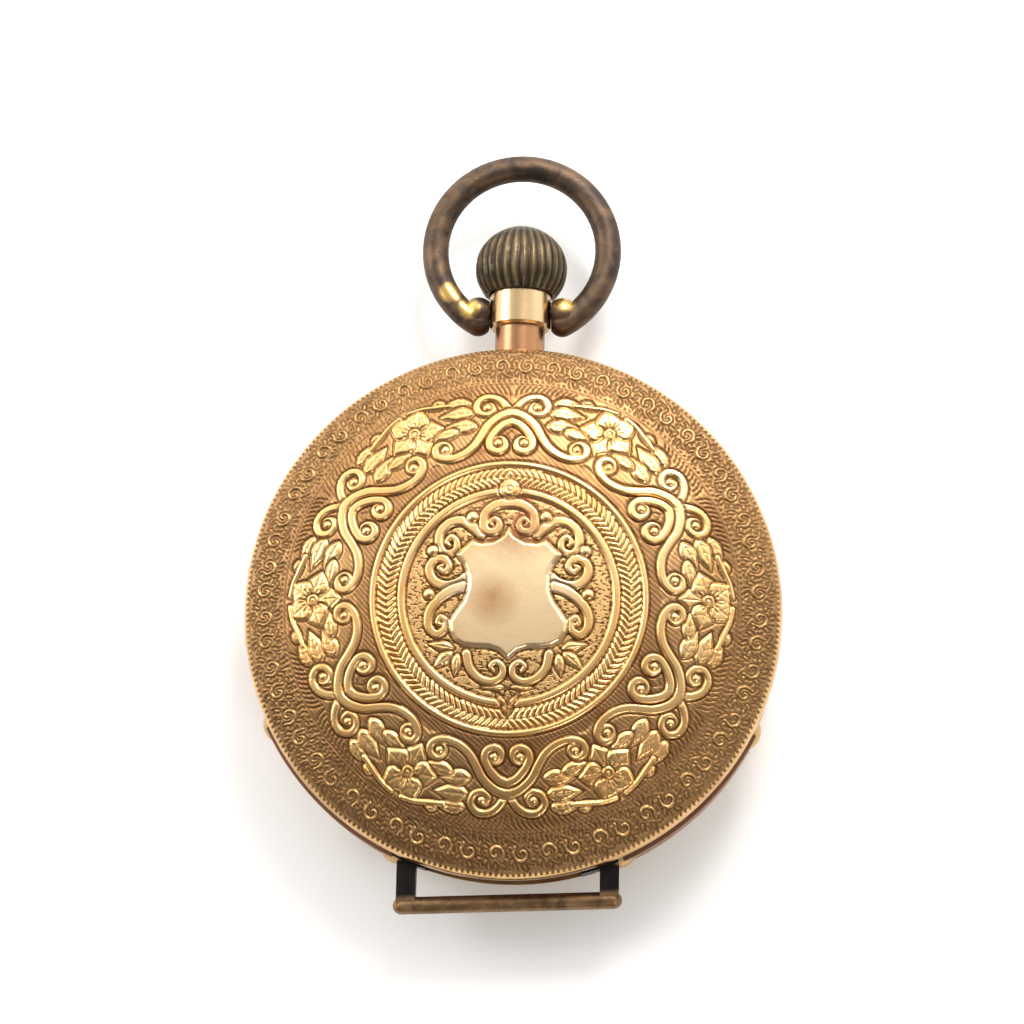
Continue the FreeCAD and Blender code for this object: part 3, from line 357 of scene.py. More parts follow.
def draw_wedge():
    """Half of one sixth of the wide border: heart, strapwork, leaves and half a flower."""
    field = Field(-0.7, 8.6, 8.2, 15.2)
    gx, gy = np.meshgrid(field.x, field.y)
    radius, turn = np.hypot(gx, gy), np.degrees(np.arctan2(gx, gy))
    strap_edge = np.interp(turn, (-3, 0, 6, 10, 14, 18, 22, 27, 30, 34),
                           (12.2, 12.2, 11.5, 10.7, 10.0, 9.5, 9.35, 9.45, 9.6, 9.6))
    panel_top = np.interp(turn, (-3, 0, 8, 14, 18, 22, 28.5, 30, 34),
                          (13.0, 13.2, 13.3, 13.3, 13.45, 13.75, 14.1, 14.3, 14.1))
    inside = np.minimum(radius - strap_edge, panel_top - radius)
    field.height = 0.055 * smooth(inside / 0.25)
    field.ground = np.where(inside > 0, 0.8, 1.0)

    def polar(r, degrees):
        return r * math.sin(math.radians(degrees)), r * math.cos(math.radians(degrees))

    for step in range(11):
        angle = 21.5 + step * 0.95
        field.engrave([polar(10.35 + 0.1 * (step % 2), angle),
                       polar(11.25 - 0.12 * (step % 3), angle + 0.5)], 0.045, 0.95)
    for base, tip, width in (((2.6, 12.95), (4.6, 12.75), 0.55), ((2.35, 12.2), (4.7, 11.9), 0.62),
                             ((2.15, 11.2), (4.3, 11.15), 0.6), ((3.3, 10.9), (5.2, 10.2), 0.5),
                             ((4.4, 13.1), (5.4, 12.4), 0.45)):
        field.leaf(base, tip, width, 0.12)
    centre = np.array(polar(12.45, 30))
    out_way = math.radians(60)
    for petal in (0, 1, 2, -1, -2):
        way = out_way + math.pi + petal * math.radians(72)
        tip = centre + 1.95 * np.array((math.cos(way), math.sin(way)))
        field.leaf(centre + 0.1 * (tip - centre), tip, 0.92, 0.13, 2)
    field.disc(centre[0], centre[1], 0.4, 0.16, groove=0.06)
    field.disc(centre[0], centre[1], 0.16, 0.17)
    for spoke in range(16):
        way = math.tau * spoke / 16
        unit = np.array((math.cos(way), math.sin(way)))
        field.engrave([centre + unit * 0.44, centre + unit * (0.68 + 0.16 * (spoke % 2))], 0.055, 1.0)
    field.strap([polar(13.35, 17.5), polar(13.55, 21), polar(13.85, 25), polar(14.0, 28.6)], 0.17, 0.17,
                0.13, groove=0.04)
    for points, start in (
        ([(0.15, 12.35), (0.6, 12.95), (1.2, 13.3), (1.9, 13.25), (2.3, 12.75), (2.1, 12.2), (1.55, 12.05),
          (1.2, 12.35), (1.4, 12.75), (1.75, 12.65)], 0.27),
        ([(0, 11.55), (0.55, 11.3), (1.1, 10.7), (1.38, 10.1), (1.25, 9.6), (0.8, 9.4), (0.4, 9.6),
          (0.38, 10.05),
          (0.7, 10.3), (0.98, 10.0), (0.75, 9.85)], 0.3),
        ([(-0.4, 12.15), (0.15, 12.15), (0.8, 11.9), (1.5, 11.25), (1.95, 10.4), (2.4, 9.7), (3.1, 9.15),
          (3.95, 8.9),
          (4.65, 9.1), (4.8, 9.65), (4.35, 9.95), (3.9, 9.7), (3.95, 9.3), (4.3, 9.35)], 0.32),
    ):
        field.strap(points, start, 0.19, 0.13)
    for x, y in ((1.62, 12.55), (0.82, 9.98), (4.2, 9.55)):
        field.disc(x, y, 0.27, 0.12)
    field.engrave([(0, 10.9), (0.3, 10.55), (0.12, 10.2)], 0.04, 0.7)
    for stroke in range(12):
        angle, low = 0.6 + 1.35 * stroke, 13.5 + 0.12 * (stroke % 3)
        field.engrave([polar(low, angle), polar(14.0, angle + 0.5), polar(14.25, angle + 1.3)], 0.05, 0.9)
    return field


def draw_border():
    """One cell of the fine scroll border next to the edge: a curl with bright-cut ticks round it."""
    field = Field(-0.2, 2.0, 14.3, 17.1)
    curl = [(0.9 + (0.62 - 0.06 * k) * math.cos(0.75 * k + 2.4),
             15.75 + (0.62 - 0.06 * k) * math.sin(0.75 * k + 2.4))
            for k in range(10)]
    field.strap(curl, 0.12, 0.07, 0.07, groove=0.05)
    for way in (0.6, 1.5, 2.6, 3.7, 4.8, 5.7):
        unit = np.array((math.cos(way), math.sin(way)))
        root = np.array((0.9, 15.75)) + unit * 0.62
        field.leaf(root, root + unit * 0.5 + np.array((-unit[1], unit[0])) * 0.18, 0.13, 0.08, 0)
    for k in range(15):
        way = 2.2 - k * 0.36
        unit = np.array((math.cos(way), math.sin(way)))
        start = np.array((0.9, 15.75)) + unit * 0.74
        side = np.array((-unit[1], unit[0])) * 0.1
        field.engrave([start, start + unit * 0.13 + side, start + unit * 0.3 + side * 2.4], 0.055, 1.0)
    for x, y, dx, dy in ((0.1, 16.5, 0.3, 0.12), (1.55, 16.55, 0.25, -0.1), (0.05, 15.1, 0.25, -0.15),
                         (1.6, 15.05, 0.2, 0.12), (0.1, 15.7, 0.02, 0.3), (1.72, 15.7, 0.02, 0.3)):
        field.engrave([(x, y), (x + dx * 0.5, y + dy + 0.04), (x + dx, y + dy)], 0.05, 0.9)
    return field


def ring_band(s, low, high, edge=0.12):
    return smooth((s - low) / edge) * smooth((high - s) / edge)


DRIFT_X, DRIFT_Y = 0.1, 0.22  # the engraving's centre, off the case centre
MEDALLION_EDGE = 6.45


def relief(s, turn):
    """Height (mm), engraved depth and ground mask on the cover, at distance s from its middle."""
    turn = turn + math.radians(0.6)
    drift = 1 - smooth((s - 9.0) / 7.5)
    x, y = s * np.sin(turn) + DRIFT_X * drift, s * np.cos(turn) - DRIFT_Y * drift
    s, turn = np.hypot(x, y), np.arctan2(x, y)
    height, line, ground = np.zeros_like(s), np.zeros_like(s), np.ones_like(s)
    middle = draw_medallion()
    marks = draw_ring_marks()
    wedge = draw_wedge()
    border = draw_border()
    inner = s < MEDALLION_EDGE
    ax = np.abs(x)
    height = np.where(inner, middle.sample(middle.height, ax, y), height)
    line = np.where(inner, middle.sample(middle.line, ax, y), line)
    ground = np.where(inner, middle.sample(middle.ground, ax, y), ground)
    for low, high, top in ((6.42, 7.0, 0.13), (8.3, 8.78, 0.14)):
        band = ring_band(s, low, high, 0.16)
        height = np.maximum(height, top * band)
        ground = np.where(band > 0.05, 0.0, ground)
        for edge in (low - 0.04, high + 0.04):
            line = np.maximum(line, 0.9 * np.exp(-((s - edge) / 0.055) ** 2))
    wreath = (s > 7.05) & (s < 8.27)
    phase = np.abs(turn) / math.pi * 60 + 1.9 * np.abs(s - 7.66)
    leaf = np.abs(np.sin(math.pi * phase)) ** 0.7
    spine = np.exp(-((s - 7.66) / 0.05) ** 2)
    side = smooth((0.6 - np.abs(s - 7.66)) / 0.15)
    height = np.where(wreath, 0.11 * leaf * side * (1 - 0.6 * spine), height)
    line = np.where(wreath, np.maximum(1.35 - 1.9 * leaf, 0.9 * spine * (leaf < 0.85)), line)
    ground = np.where(wreath, 0.0, ground)
    on_marks = (ax < 1.1) & (np.abs(y) > 5.6) & (s < 7.9)
    mark_ground = marks.sample(marks.ground, x, y)
    keep = on_marks & (mark_ground < 0.5)
    height = np.where(keep, marks.sample(marks.height, x, y), height)
    line = np.where(on_marks, np.maximum(np.where(keep, 0, line), marks.sample(marks.line, x, y)), line)
    sixth = math.pi / 3
    local = np.abs((turn + sixth / 2) % sixth - sixth / 2)
    outer = (s >= 8.85) & (s < 14.45)
    wx, wy = s * np.sin(local), s * np.cos(local)
    height = np.where(outer, wedge.sample(wedge.height, wx, wy), height)
    line = np.where(outer, wedge.sample(wedge.line, wx, wy), line)
    ground = np.where(outer, wedge.sample(wedge.ground, wx, wy), ground)
    line = np.maximum(line, 0.6 * np.exp(-((s - 14.35) / 0.04) ** 2))
    dots = np.exp(-((s - 14.6) / 0.06) ** 2) * (np.sin(turn * 260) > 0)
    line = np.maximum(line, 0.8 * dots)
    cells = 60
    cell = (turn / math.tau * cells) % 1.0
    flip = np.floor(turn / math.tau * cells) % 2 > 0.5
    bx = np.where(flip, 1.0 - cell, cell) * 1.8
    by = np.where(flip, 31.5 - s, s)
    rim = (s >= 14.7) & (s < 16.95)
    height = np.where(rim, border.sample(border.height, bx, by), height)
    line = np.where(rim, border.sample(border.line, bx, by), line)
    ground = np.where(rim, 0.42 + 0.58 * border.sample(border.ground, bx, by), ground)
    milled = (s > 17.0) & (s < 17.3)
    line = np.where(milled, 0.5 + 0.5 * np.sign(np.sin(turn * 300)), line)
    line = np.maximum(line, 0.8 * np.exp(-((s - 16.98) / 0.04) ** 2))
    lip = s >= 17.3
    height = np.where(lip, 0.0, height)
    ground = np.where(lip | milled, 0.0, ground)
    return 1.1 * height - 0.07 * np.clip(line, 0, 1), np.clip(line, 0, 1), ground


# ---------------------------------------------------------------- the engraved back
DOME, EDGE, RADIUS, APEX, RIM_Z, WALL = 55.0, 1.41, 17.0, 9.8, 5.85, 0.35
BREAK = math.asin((RADIUS - EDGE) / (DOME - EDGE))
EDGE_Z = APEX - DOME + (DOME - EDGE) * math.cos(BREAK)
ARC_1 = DOME * BREAK
ARC_2 = ARC_1 + EDGE * (math.pi / 2 - BREAK)
REACH = ARC_2 + EDGE_Z - RIM_Z


def meridian(s, inset=0.0):
    """Radius, height and outward normal of the cover at arc length s from its middle."""
    angle = np.where(s < ARC_1, s / DOME, np.minimum(BREAK + (s - ARC_1) / EDGE, math.pi / 2))
    flat = s < ARC_1
    big, small = DOME - inset, EDGE - inset
    radius = np.where(flat, big * np.sin(angle), RADIUS - EDGE + small * np.sin(angle))
    height = np.where(flat, APEX - DOME + big * np.cos(angle), EDGE_Z + small * np.cos(angle))
    height = height - np.maximum(s - ARC_2, 0.0)
    return radius, height, np.sin(angle), np.cos(angle)


HINGE_GAP_X, HINGE_GAP_HALF, HINGE_GAP_TOP = -16.3, 2.66, 6.13  # the skin is open over the hinge knuckles
COVER_GRID, COVER_GRID_QUICK = 560, 300
RELIEF_OUT_MAX = 0.13  # how far the relief may stand out sideways inside RIM_START
RIM_START = 16.2


def mesh_object(name, points, quads, body, smooth_faces=True):
    """Mesh from arrays of points (mm) and quads or polygons, riding on a body."""
    data = bpy.data.meshes.new(name)
    data.from_pydata((np.asarray(points) * MM).tolist(), [], np.asarray(quads).tolist() if len(quads) else [])
    data.polygons.foreach_set("use_smooth", [smooth_faces] * len(data.polygons))
    made = bpy.data.objects.new(name, data)
    bpy.context.collection.objects.link(made)
    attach(made, body)
    return made


def grid_quads(rows, columns, wrap=False):
    last = columns if wrap else columns - 1
    i, j = np.meshgrid(np.arange(rows - 1), np.arange(last), indexing="ij")
    k = (j + 1) % columns
    return np.stack([i * columns + j, i * columns + k, (i + 1) * columns + k, (i + 1) * columns + j],
                    -1).reshape(-1, 4)


def off_hinge(points, quads):
    """Drop the faces that would lie where the hinge sits."""
    spot = points[quads].mean(1)
    gone = (spot[:, 0] < HINGE_GAP_X) & (np.abs(spot[:, 1]) < HINGE_GAP_HALF) & (spot[:, 2] < HINGE_GAP_TOP)
    return quads[~gone]


def build_cover():
    count = COVER_GRID
    a, b = np.meshgrid(np.linspace(-1, 1, count), np.linspace(-1, 1, count), indexing="ij")
    wide = np.abs(a) > np.abs(b)
    safe_a, safe_b = np.where(a == 0, 1e-9, a), np.where(b == 0, 1e-9, b)  # no division by zero at the centre
    reach = np.where(wide, a, b)
    turn = np.where(wide, math.pi / 4 * b / safe_a, math.pi / 2 - math.pi / 4 * a / safe_b)
    x, y = reach * np.cos(turn), reach * np.sin(turn)
    s = np.hypot(x, y).ravel() * REACH
    turn = np.arctan2(x, y).ravel()
    height, line, ground = relief(s, turn)
    height = height * np.clip((REACH - s) / 0.1, 0, 1)
    radius, level, out, up = meridian(s)
    radius = radius + out * np.minimum(height, RELIEF_OUT_MAX * (s < RIM_START) + height * (s >= RIM_START))
    level = level + up * height
    points = np.stack([radius * np.sin(turn), radius * np.cos(turn), level], -1)
    quads = off_hinge(points, grid_quads(count, count)[:, ::-1])
    made = mesh_object("back_cover_engraved", points, quads, "back_cover")
    for name, values in (("engraving", line), ("ground", ground)):
        layer = made.data.attributes.new(name, "FLOAT", "POINT")
        layer.data.foreach_set("value", np.ascontiguousarray(values, dtype=np.float32))
    if made.data.polygons[0].normal.z < 0:
        made.data.flip_normals()
    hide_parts("back_cover")

    steps = np.concatenate([np.linspace(REACH, ARC_1, 10), np.linspace(ARC_1, 0.3, 16)[1:]])
    radius, level, _, _ = meridian(steps, WALL)
    radius = np.concatenate([[RADIUS - 0.01], radius])
    level = np.concatenate([[RIM_Z], level])
    angles = np.linspace(0, math.tau, 180, endpoint=False)
    points = np.stack([np.outer(radius, np.sin(angles)), np.outer(radius, np.cos(angles)),
                       np.repeat(level[:, None], 180, 1)], -1).reshape(-1, 3)
    quads = off_hinge(points, grid_quads(len(radius), 180, True)).tolist()
    quads.append([(len(radius) - 1) * 180 + k for k in range(180)])
    lining = mesh_object("back_cover_lining", points, [], "back_cover")
    lining.data.clear_geometry()
    lining.data.from_pydata((points * MM).tolist(), [], quads)
    lining.data.polygons.foreach_set("use_smooth", [True] * len(lining.data.polygons))
    return made, lining


# ---------------------------------------------------------------- dial marks
def stroke_box(points, quads, start, end, width, z):
    start, end = np.array(start), np.array(end)
    along = (end - start) / np.hypot(*(end - start))
    side = np.array((-along[1], along[0])) * width / 2
    first = len(points)
    for corner in (start - side, start + side, end + side, end - side):
        for level in (z, z - 0.012):
            points.append((corner[0], corner[1], level))
    for face in ((0, 2, 4, 6), (1, 7, 5, 3), (0, 1, 3, 2), (2, 3, 5, 4), (4, 5, 7, 6), (6, 7, 1, 0)):
        quads.append([first + k for k in face])


def build_dial_marks():
    """Roman numerals and a minute track, read from the glass side."""
    points, quads = [], []
    glyphs = {"I": [((0, -1), (0, 1), 0.3)], "V": [((-0.55, 1), (0, -1), 0.32), ((0.55, 1), (0, -1), 0.12)],
              "X": [((-0.55, 1), (0.55, -1), 0.32), ((0.55, 1), (-0.55, -1), 0.12)]}
    widths = {"I": 0.55, "V": 1.3, "X": 1.3}
    names = ["XII", "I", "II", "III", "IIII", "V", "VI", "VII", "VIII", "IX", "X", "XI"]
    for hour, name in enumerate(names):
        angle = math.tau * hour / 12
        out = np.array((-math.sin(angle), math.cos(angle)))
        right = np.array((-math.cos(angle), -math.sin(angle)))
        total = sum(widths[c] for c in name)
        cursor = -total / 2
        for letter in name:
            middle = cursor + widths[letter] / 2
            cursor += widths[letter]
            for start, end, width in glyphs[letter]:
                ends = [out * (9.9 + 1.15 * p[1]) + right * (middle + p[0]) * 0.8 for p in (start, end)]
                stroke_box(points, quads, ends[0], ends[1], width, 1.645)
    for minute in range(60):
        angle = math.tau * minute / 60
        out = np.array((-math.sin(angle), math.cos(angle)))
        stroke_box(points, quads, out * 11.7, out * 12.15, 0.22 if minute % 5 == 0 else 0.09, 1.645)
    for radius in (11.7, 12.15):
        for k in range(120):
            a, b = math.tau * k / 120, math.tau * (k + 1) / 120
            stroke_box(points, quads, (radius * math.sin(a), radius * math.cos(a)),
                       (radius * math.sin(b), radius * math.cos(b)), 0.05, 1.645)
    made = mesh_object("dial_marks", points, quads, "case", False)
    return made


# ---------------------------------------------------------------- materials
def engraved_gold():
    material, tree, shader = new_material("engraved_gold")
    coords = position(tree)
    line = node(tree, "Attribute", attribute_name="engraving").outputs["Fac"]
    ground = node(tree, "Attribute", attribute_name="ground").outputs["Fac"]
    broad = noise(tree, coords, 130.0, 5.0, 0.6, 0.4)
    blotch = noise(tree, coords, 420.0, 6.0, 0.65, 0.8)
    fine = noise(tree, coords, 3000.0, 5.0, 0.65)
    stipple = noise(tree, node(tree, "Mapping", _Vector=coords, _Scale=(1.0, 1.7, 1.0)).outputs[0], 3600.0,
                    2.0, 0.5)
    clean = blend_color(tree, remap(tree, broad, 0.35, 0.7, 0.0, 1.0), (0.95, 0.62, 0.28),
                        (0.86, 0.48, 0.165))
    clean = blend_color(tree, remap(tree, blotch, 0.5, 0.75, 0.0, 0.6), clean, (0.58, 0.27, 0.085))
    low = blend_color(tree, remap(tree, blotch, 0.4, 0.68, 0.0, 1.0), (0.26, 0.13, 0.055),
                      (0.15, 0.068, 0.036))
    middle = away_from(tree, coords, (0, 0, APEX))
    in_field = remap(tree, middle, 0.0066, 0.0063, 0.0, 1.0)
    low = blend_color(tree, math_node(tree, "MULTIPLY", in_field, 0.75), low, (0.80, 0.50, 0.21))
    base = blend_color(tree, math_node(tree, "MULTIPLY", ground, 0.85), clean, low)
    pale = math_node(tree, "MULTIPLY", remap(tree, middle, 0.0046, 0.0034, 0.0, 0.85),
                     math_node(tree, "SUBTRACT", 1.0, ground))
    base = blend_color(tree, pale, base, (1.0, 0.76, 0.47))
    pits = math_node(tree, "MULTIPLY", remap(tree, stipple, 0.5, 0.58, 0.0, 1.0), in_field)
    cuts = node(tree, "TexWave", bands_direction="DIAGONAL", _Vector=coords, _Scale=1800.0, _Distortion=3.0,
                _Detail=2.0, _Detail_Scale=0.5).outputs["Fac"]
    cuts = math_node(tree, "MULTIPLY", remap(tree, cuts, 0.45, 0.75, 0.0, 0.4),
                     math_node(tree, "SUBTRACT", 1.0, in_field))
    pits = math_node(tree, "MULTIPLY", math_node(tree, "ADD", pits, cuts), ground)
    base = blend_color(tree, math_node(tree, "MULTIPLY", pits, 0.85), base, (0.075, 0.028, 0.007))
    grime = math_node(tree, "MULTIPLY", line, remap(tree, broad, 0.3, 0.7, 1.0, 0.82))
    base = blend_color(tree, grime, base, (0.050, 0.018, 0.005))
    spot = away_from(tree, coords, (-1.05, -0.1, APEX))
    stain = math_node(tree, "MULTIPLY", remap(tree, spot, 0.0019, 0.0002, 0.0, 0.8),
                      remap(tree, blotch, 0.3, 0.6, 0.55, 1.0))
    base = blend_color(tree, stain, base, (0.50, 0.20, 0.055))
    spot = away_from(tree, coords, (0.3, 5.3, APEX))
    stain = math_node(tree, "MULTIPLY", remap(tree, spot, 0.0034, 0.0012, 0.0, 0.75),
                      remap(tree, blotch, 0.38, 0.58, 0.1, 1.0))
    base = blend_color(tree, stain, base, (0.36, 0.15, 0.075))
    rim = remap(tree, middle, 0.0138, 0.0152, 0.0, 0.6)
    base = blend_color(tree, math_node(tree, "MULTIPLY", rim, remap(tree, broad, 0.35, 0.6, 0.35, 1.0)), base,
                       (0.30, 0.175, 0.075))
    tree.links.new(base, shader.inputs["Base Color"])
    shader.inputs["Metallic"].default_value = 1.0
    rough = math_node(tree, "ADD", remap(tree, blotch, 0.3, 0.7, 0.19, 0.30),
                      math_node(tree, "MULTIPLY", ground, 0.16))
    rough = math_node(tree, "ADD", rough, math_node(tree, "MULTIPLY", line, 0.3))
    tree.links.new(rough, shader.inputs["Roughness"])
    height = math_node(tree, "SUBTRACT", math_node(tree, "MULTIPLY", fine, 0.35),
                       math_node(tree, "MULTIPLY", pits, 1.1))
    tree.links.new(bump(tree, height, 0.6, 0.035), shader.inputs["Normal"])
    return material


def patchy_bronze(name, dark, mid, bright, centres=(), reach=1.0, amount=0.2, rub_and_highlight=0.3):
    """Dark patina broken through to bright brass near given points; edges lighter, partly bare brass and
    partly painted highlight.
    """
    material, tree, shader = new_material(name)
    coords = position(tree)
    blotch = noise(tree, coords, 520.0, 7.0, 0.65, 0.9)
    fine = noise(tree, coords, 2800.0, 5.0, 0.65)
    base = blend_color(tree, remap(tree, blotch, 0.38, 0.64, 0.0, 1.0), dark, mid)
    near = remap(tree, fine, 0.56, 0.82, 0.0, amount)
    for centre in centres:
        gap = away_from(tree, coords, centre)
        spot = math_node(tree, "MULTIPLY", remap(tree, gap, reach * MM, reach * 0.4 * MM, 0.0, 1.6), blotch)
        near = math_node(tree, "MAXIMUM", near, spot)
    # Edges lightened: bare brass on edges plus painted highlight.
    edge = remap(tree, node(tree, "NewGeometry").outputs["Pointiness"], 0.505, 0.57, 0.0, rub_and_highlight)
    wear_and_highlight = remap(tree, math_node(tree, "ADD", near, edge), 0.15, 0.8, 0.0, 1.0)
    tree.links.new(blend_color(tree, wear_and_highlight, base, bright), shader.inputs["Base Color"])
    shader.inputs["Metallic"].default_value = 0.9
    tree.links.new(remap(tree, wear_and_highlight, 0.0, 1.0, 0.5, 0.27), shader.inputs["Roughness"])
    height = math_node(tree, "ADD", fine, math_node(tree, "MULTIPLY", blotch, 1.5))
    tree.links.new(bump(tree, height, 0.4, 0.03), shader.inputs["Normal"])
    return material


def crown_metal():
    """Crown: dull olive-brown brass, brighter on the crests of its ribs (bare brass and painted highlight)
    and darker in the grooves (painted shade).
    """
    material, tree, shader = new_material("crown_bronze")
    coords = position(tree)
    blotch = noise(tree, coords, 700.0, 6.0, 0.6, 0.5)
    parts = node(tree, "SeparateXYZ", _Vector=coords).outputs
    around = math_node(tree, "ARCTAN2", math_node(tree, "SUBTRACT", parts["Z"], 0.0042), parts["X"])
    crest = math_node(tree, "COSINE", math_node(tree, "MULTIPLY", around, 30.0))
    base = blend_color(tree, remap(tree, blotch, 0.35, 0.65, 0.0, 1.0), (0.050, 0.038, 0.025),
                       (0.105, 0.078, 0.045))
    # Painted highlight on the rib crests, mixed with bare brass.
    rub_and_highlight = math_node(tree, "MULTIPLY", remap(tree, crest, 0.35, 1.0, 0.0, 0.75),
                       remap(tree, blotch, 0.4, 0.65, 0.3, 1.0))
    base = blend_color(tree, rub_and_highlight, base, (0.30, 0.21, 0.10))
    # Painted shade in the grooves between the ribs.
    base = blend_color(tree, remap(tree, crest, -0.2, -1.0, 0.0, 0.7), base, (0.022, 0.015, 0.009))
    tree.links.new(base, shader.inputs["Base Color"])
    shader.inputs["Metallic"].default_value = 0.85
    tree.links.new(remap(tree, blotch, 0.3, 0.7, 0.34, 0.5), shader.inputs["Roughness"])
    tree.links.new(bump(tree, noise(tree, coords, 3000.0), 0.3, 0.02), shader.inputs["Normal"])
    return material


def strap_metal():
    """Strap bar: brown brass on the round bar, nearly black on the legs."""
    material, tree, shader = new_material("black_patina")
    coords = position(tree)
    blotch = noise(tree, coords, 600.0, 6.0, 0.65, 0.6)
    fine = noise(tree, coords, 2800.0, 5.0, 0.65)
    bar = blend_color(tree, remap(tree, blotch, 0.35, 0.65, 0.0, 1.0), (0.13, 0.075, 0.038),
                      (0.30, 0.18, 0.085))
    bar = blend_color(tree, remap(tree, fine, 0.55, 0.8, 0.0, 0.6), bar, (0.50, 0.33, 0.15))
    leg = blend_color(tree, remap(tree, blotch, 0.35, 0.65, 0.0, 1.0), (0.010, 0.009, 0.010),
                      (0.030, 0.024, 0.022))
    parts = node(tree, "SeparateXYZ", _Vector=coords).outputs
    reach = math_node(tree, "SUBTRACT", parts["Y"], math_node(tree, "MULTIPLY", parts["X"], 0.0454))
    reach = math_node(tree, "ADD", reach, math_node(tree, "MULTIPLY", blotch, 0.0004))
    on_leg = remap(tree, reach, -0.01766, -0.01742, 0.0, 1.0)
    tree.links.new(blend_color(tree, on_leg, bar, leg), shader.inputs["Base Color"])
    shader.inputs["Metallic"].default_value = 0.85
    tree.links.new(remap(tree, blotch, 0.3, 0.7, 0.34, 0.5), shader.inputs["Roughness"])
    tree.links.new(bump(tree, fine, 0.4, 0.03), shader.inputs["Normal"])
    return material


def crystal_glass():
    material, tree, shader = new_material("crystal_glass")
    coords = position(tree)
    shader.inputs["Base Color"].default_value = (0.97, 0.98, 0.98, 1.0)
    shader.inputs["Transmission Weight"].default_value = 1.0
    shader.inputs["IOR"].default_value = 1.5
    scratch = noise(tree, node(tree, "Mapping", _Vector=coords, _Scale=(1.0, 12.0, 1.0)).outputs[0], 500.0,
                    5.0, 0.7)
    tree.links.new(remap(tree, scratch, 0.5, 0.8, 0.02, 0.12), shader.inputs["Roughness"])
    return material


def enamel(name, first, second, roughness):
    material, tree, shader = new_material(name)
    coords = position(tree)
    cloud = noise(tree, coords, 180.0, 5.0)
    tree.links.new(blend_color(tree, remap(tree, cloud, 0.35, 0.7, 0.0, 1.0), first, second),
                   shader.inputs["Base Color"])
    tree.links.new(remap(tree, noise(tree, coords, 900.0), 0.3, 0.7, roughness, roughness + 0.1),
                   shader.inputs["Roughness"])
    shader.inputs["Coat Weight"].default_value = 0.4
    return material


def ruby():
    material, tree, shader = new_material("ruby")
    coords = position(tree)
    tree.links.new(blend_color(tree, noise(tree, coords, 1500.0), (0.55, 0.02, 0.09), (0.85, 0.10, 0.22)),
                   shader.inputs["Base Color"])
    shader.inputs["Roughness"].default_value = 0.08
    shader.inputs["Coat Weight"].default_value = 0.8
    return material


FEET = [(2.9, 20.6, 5.0), (-3.3, 20.1, 5.0), (-4.6, 21.2, 4.9)]
# Ends of the lug strips, where painted highlight patches go on the rose brass.
LENSES = [(16.6 * math.cos(math.radians(turn)), 16.6 * math.sin(math.radians(turn)), 4.2)
          for turn in (-65, -26.5, 206.5, 245)]
MATERIALS = {
    "plain_gold": worn_metal("plain_gold", (0.70, 0.50, 0.26), (0.60, 0.39, 0.17), (0.30, 0.14, 0.04),
                             0.15, 0.35, 0.004),
    "rose_brass": worn_metal("rose_brass", (0.36, 0.17, 0.085), (0.15, 0.07, 0.05), (0.05, 0.025, 0.018),
                             0.36, 0.9, painted_highlight_spots=LENSES),
    "worn_bronze": patchy_bronze("worn_bronze", (0.055, 0.040, 0.034), (0.15, 0.095, 0.056),
                                 (0.66, 0.42, 0.13),
                                 FEET, 0.9, 0.25, 0.1),
    "black_patina": strap_metal(),
    "gilt_plate": worn_metal("gilt_plate", (0.84, 0.64, 0.32), (0.74, 0.52, 0.24), (0.45, 0.28, 0.12),
                             0.42, 0.3, 0.006),
    "train_brass": worn_metal("train_brass", (0.86, 0.68, 0.34), (0.76, 0.55, 0.24), (0.45, 0.3, 0.12),
                              0.26, 0.3, 0.004),
    "polished_steel": worn_metal("polished_steel", (0.62, 0.62, 0.61), (0.48, 0.46, 0.43), (0.2, 0.16, 0.13),
                                 0.24, 0.3, 0.005),
    "blued_steel": worn_metal("blued_steel", (0.035, 0.06, 0.22), (0.05, 0.04, 0.14), (0.02, 0.02, 0.06),
                              0.22, 0.3, 0.003),
    "crystal_glass": crystal_glass(),
    "enamel": enamel("enamel", (0.86, 0.85, 0.80), (0.80, 0.78, 0.71), 0.16),
    "ruby": ruby(),
    "engraved_gold": engraved_gold(),
}
OWN = {
    "copper_neck": worn_metal("copper_neck", (0.37, 0.19, 0.097), (0.29, 0.125, 0.063), (0.13, 0.05, 0.022),
                              0.24, 0.5),
    "sleeve_gold": worn_metal("sleeve_gold", (0.59, 0.42, 0.233), (0.50, 0.33, 0.152), (0.25, 0.118, 0.036),
                              0.17, 0.35, 0.004),
    "crown_bronze": crown_metal(),
    "dial_black": enamel("dial_black", (0.012, 0.012, 0.014), (0.03, 0.03, 0.035), 0.3),
}
SPECIAL = {"pendant_neck": "copper_neck", "pendant_sleeve": "sleeve_gold", "crown": "crown_bronze"}


def dress_nodes():
    for entry in frame["record"]["subparts"]:
        made = frame["nodes"][entry["node"]]
        material = OWN.get(SPECIAL.get(entry["node"])) or MATERIALS[entry["material_slot"]]
        if not made.data.materials:
            made.data.materials.append(material)
        for index in range(len(made.data.materials)):
            made.data.materials[index] = material
        for slot in made.material_slots:
            slot.material = material


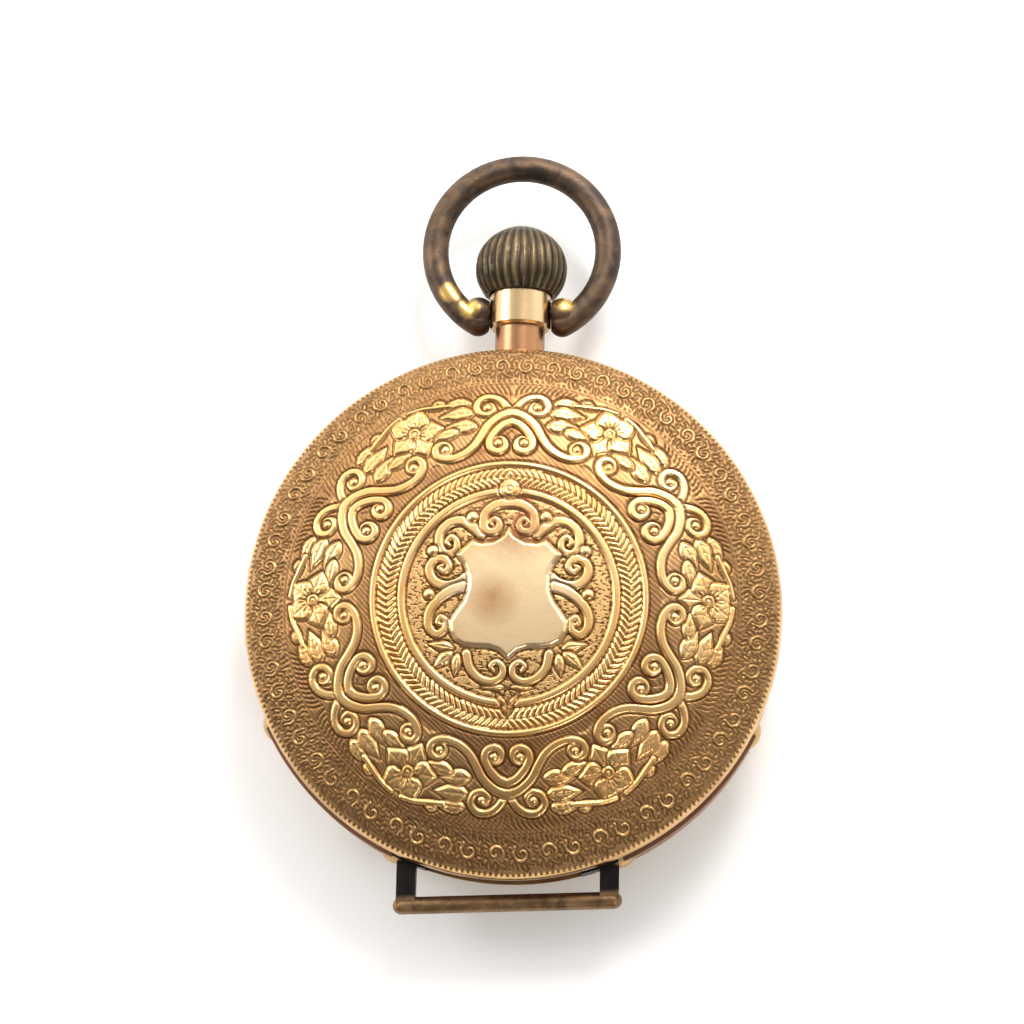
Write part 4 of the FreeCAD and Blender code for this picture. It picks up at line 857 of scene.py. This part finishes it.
def build_stage():
    data = bpy.data.meshes.new("floor")
    data.from_pydata([(-1.5, -1.5, 0), (1.5, -1.5, 0), (1.5, 1.5, 0), (-1.5, 1.5, 0)], [], [(0, 1, 2, 3)])
    floor = bpy.data.objects.new("floor", data)
    bpy.context.collection.objects.link(floor)
    floor.location.z = -0.00002
    material, tree, shader = new_material("pale_floor")
    shader.inputs["Base Color"].default_value = (0.90, 0.90, 0.90, 1.0)
    shader.inputs["Roughness"].default_value = 0.7
    shader.inputs["Specular IOR Level"].default_value = 0.2
    shader.inputs["Emission Color"].default_value = (1.0, 1.0, 1.0, 1.0)
    shader.inputs["Emission Strength"].default_value = 0.06
    data.materials.append(material)
    world = bpy.data.worlds.new("studio")
    bpy.context.scene.world = world
    world.use_nodes = True
    tree = world.node_tree
    way = node(tree, "SeparateXYZ", _Vector=node(tree, "TexCoord").outputs["Generated"]).outputs
    back = remap(tree, way["Y"], -0.9, 0.9, 0.0, 1.0)
    color = ramp(tree, back, [(0.0, (0.55, 0.50, 0.45)), (0.42, (0.78, 0.75, 0.71)),
                              (0.7, (1.0, 0.99, 0.97))])
    background = tree.nodes["Background"]
    tree.links.new(color, background.inputs["Color"])
    low_sky = remap(tree, way["Z"], 0.9, 0.45, 0.0, 1.0)
    glow = math_node(tree, "MULTIPLY", low_sky, remap(tree, way["Y"], -0.4, 0.7, 0.25, 1.5))
    tree.links.new(math_node(tree, "ADD", glow, remap(tree, way["Y"], -0.45, 0.3, 0.16, 1.05)),
                   background.inputs["Strength"])
    area_light("key", (38, 115, 120), (3, 5, 5), (60, 60), 0.20, (1.0, 0.97, 0.92))
    area_light("left", (-130, 40, 90), (0, 0, 5), (70, 70), 0.09, (1.0, 0.99, 0.97))
    area_light("front", (70, -120, 110), (0, 0, 5), (50, 50), 0.06, (1.0, 0.98, 0.95))


engraved, lining = build_cover()
engraved.data.materials.append(MATERIALS["engraved_gold"])
lining.data.materials.append(MATERIALS["plain_gold"])
marks = build_dial_marks()
marks.data.materials.append(OWN["dial_black"])
dress_nodes()
build_stage()
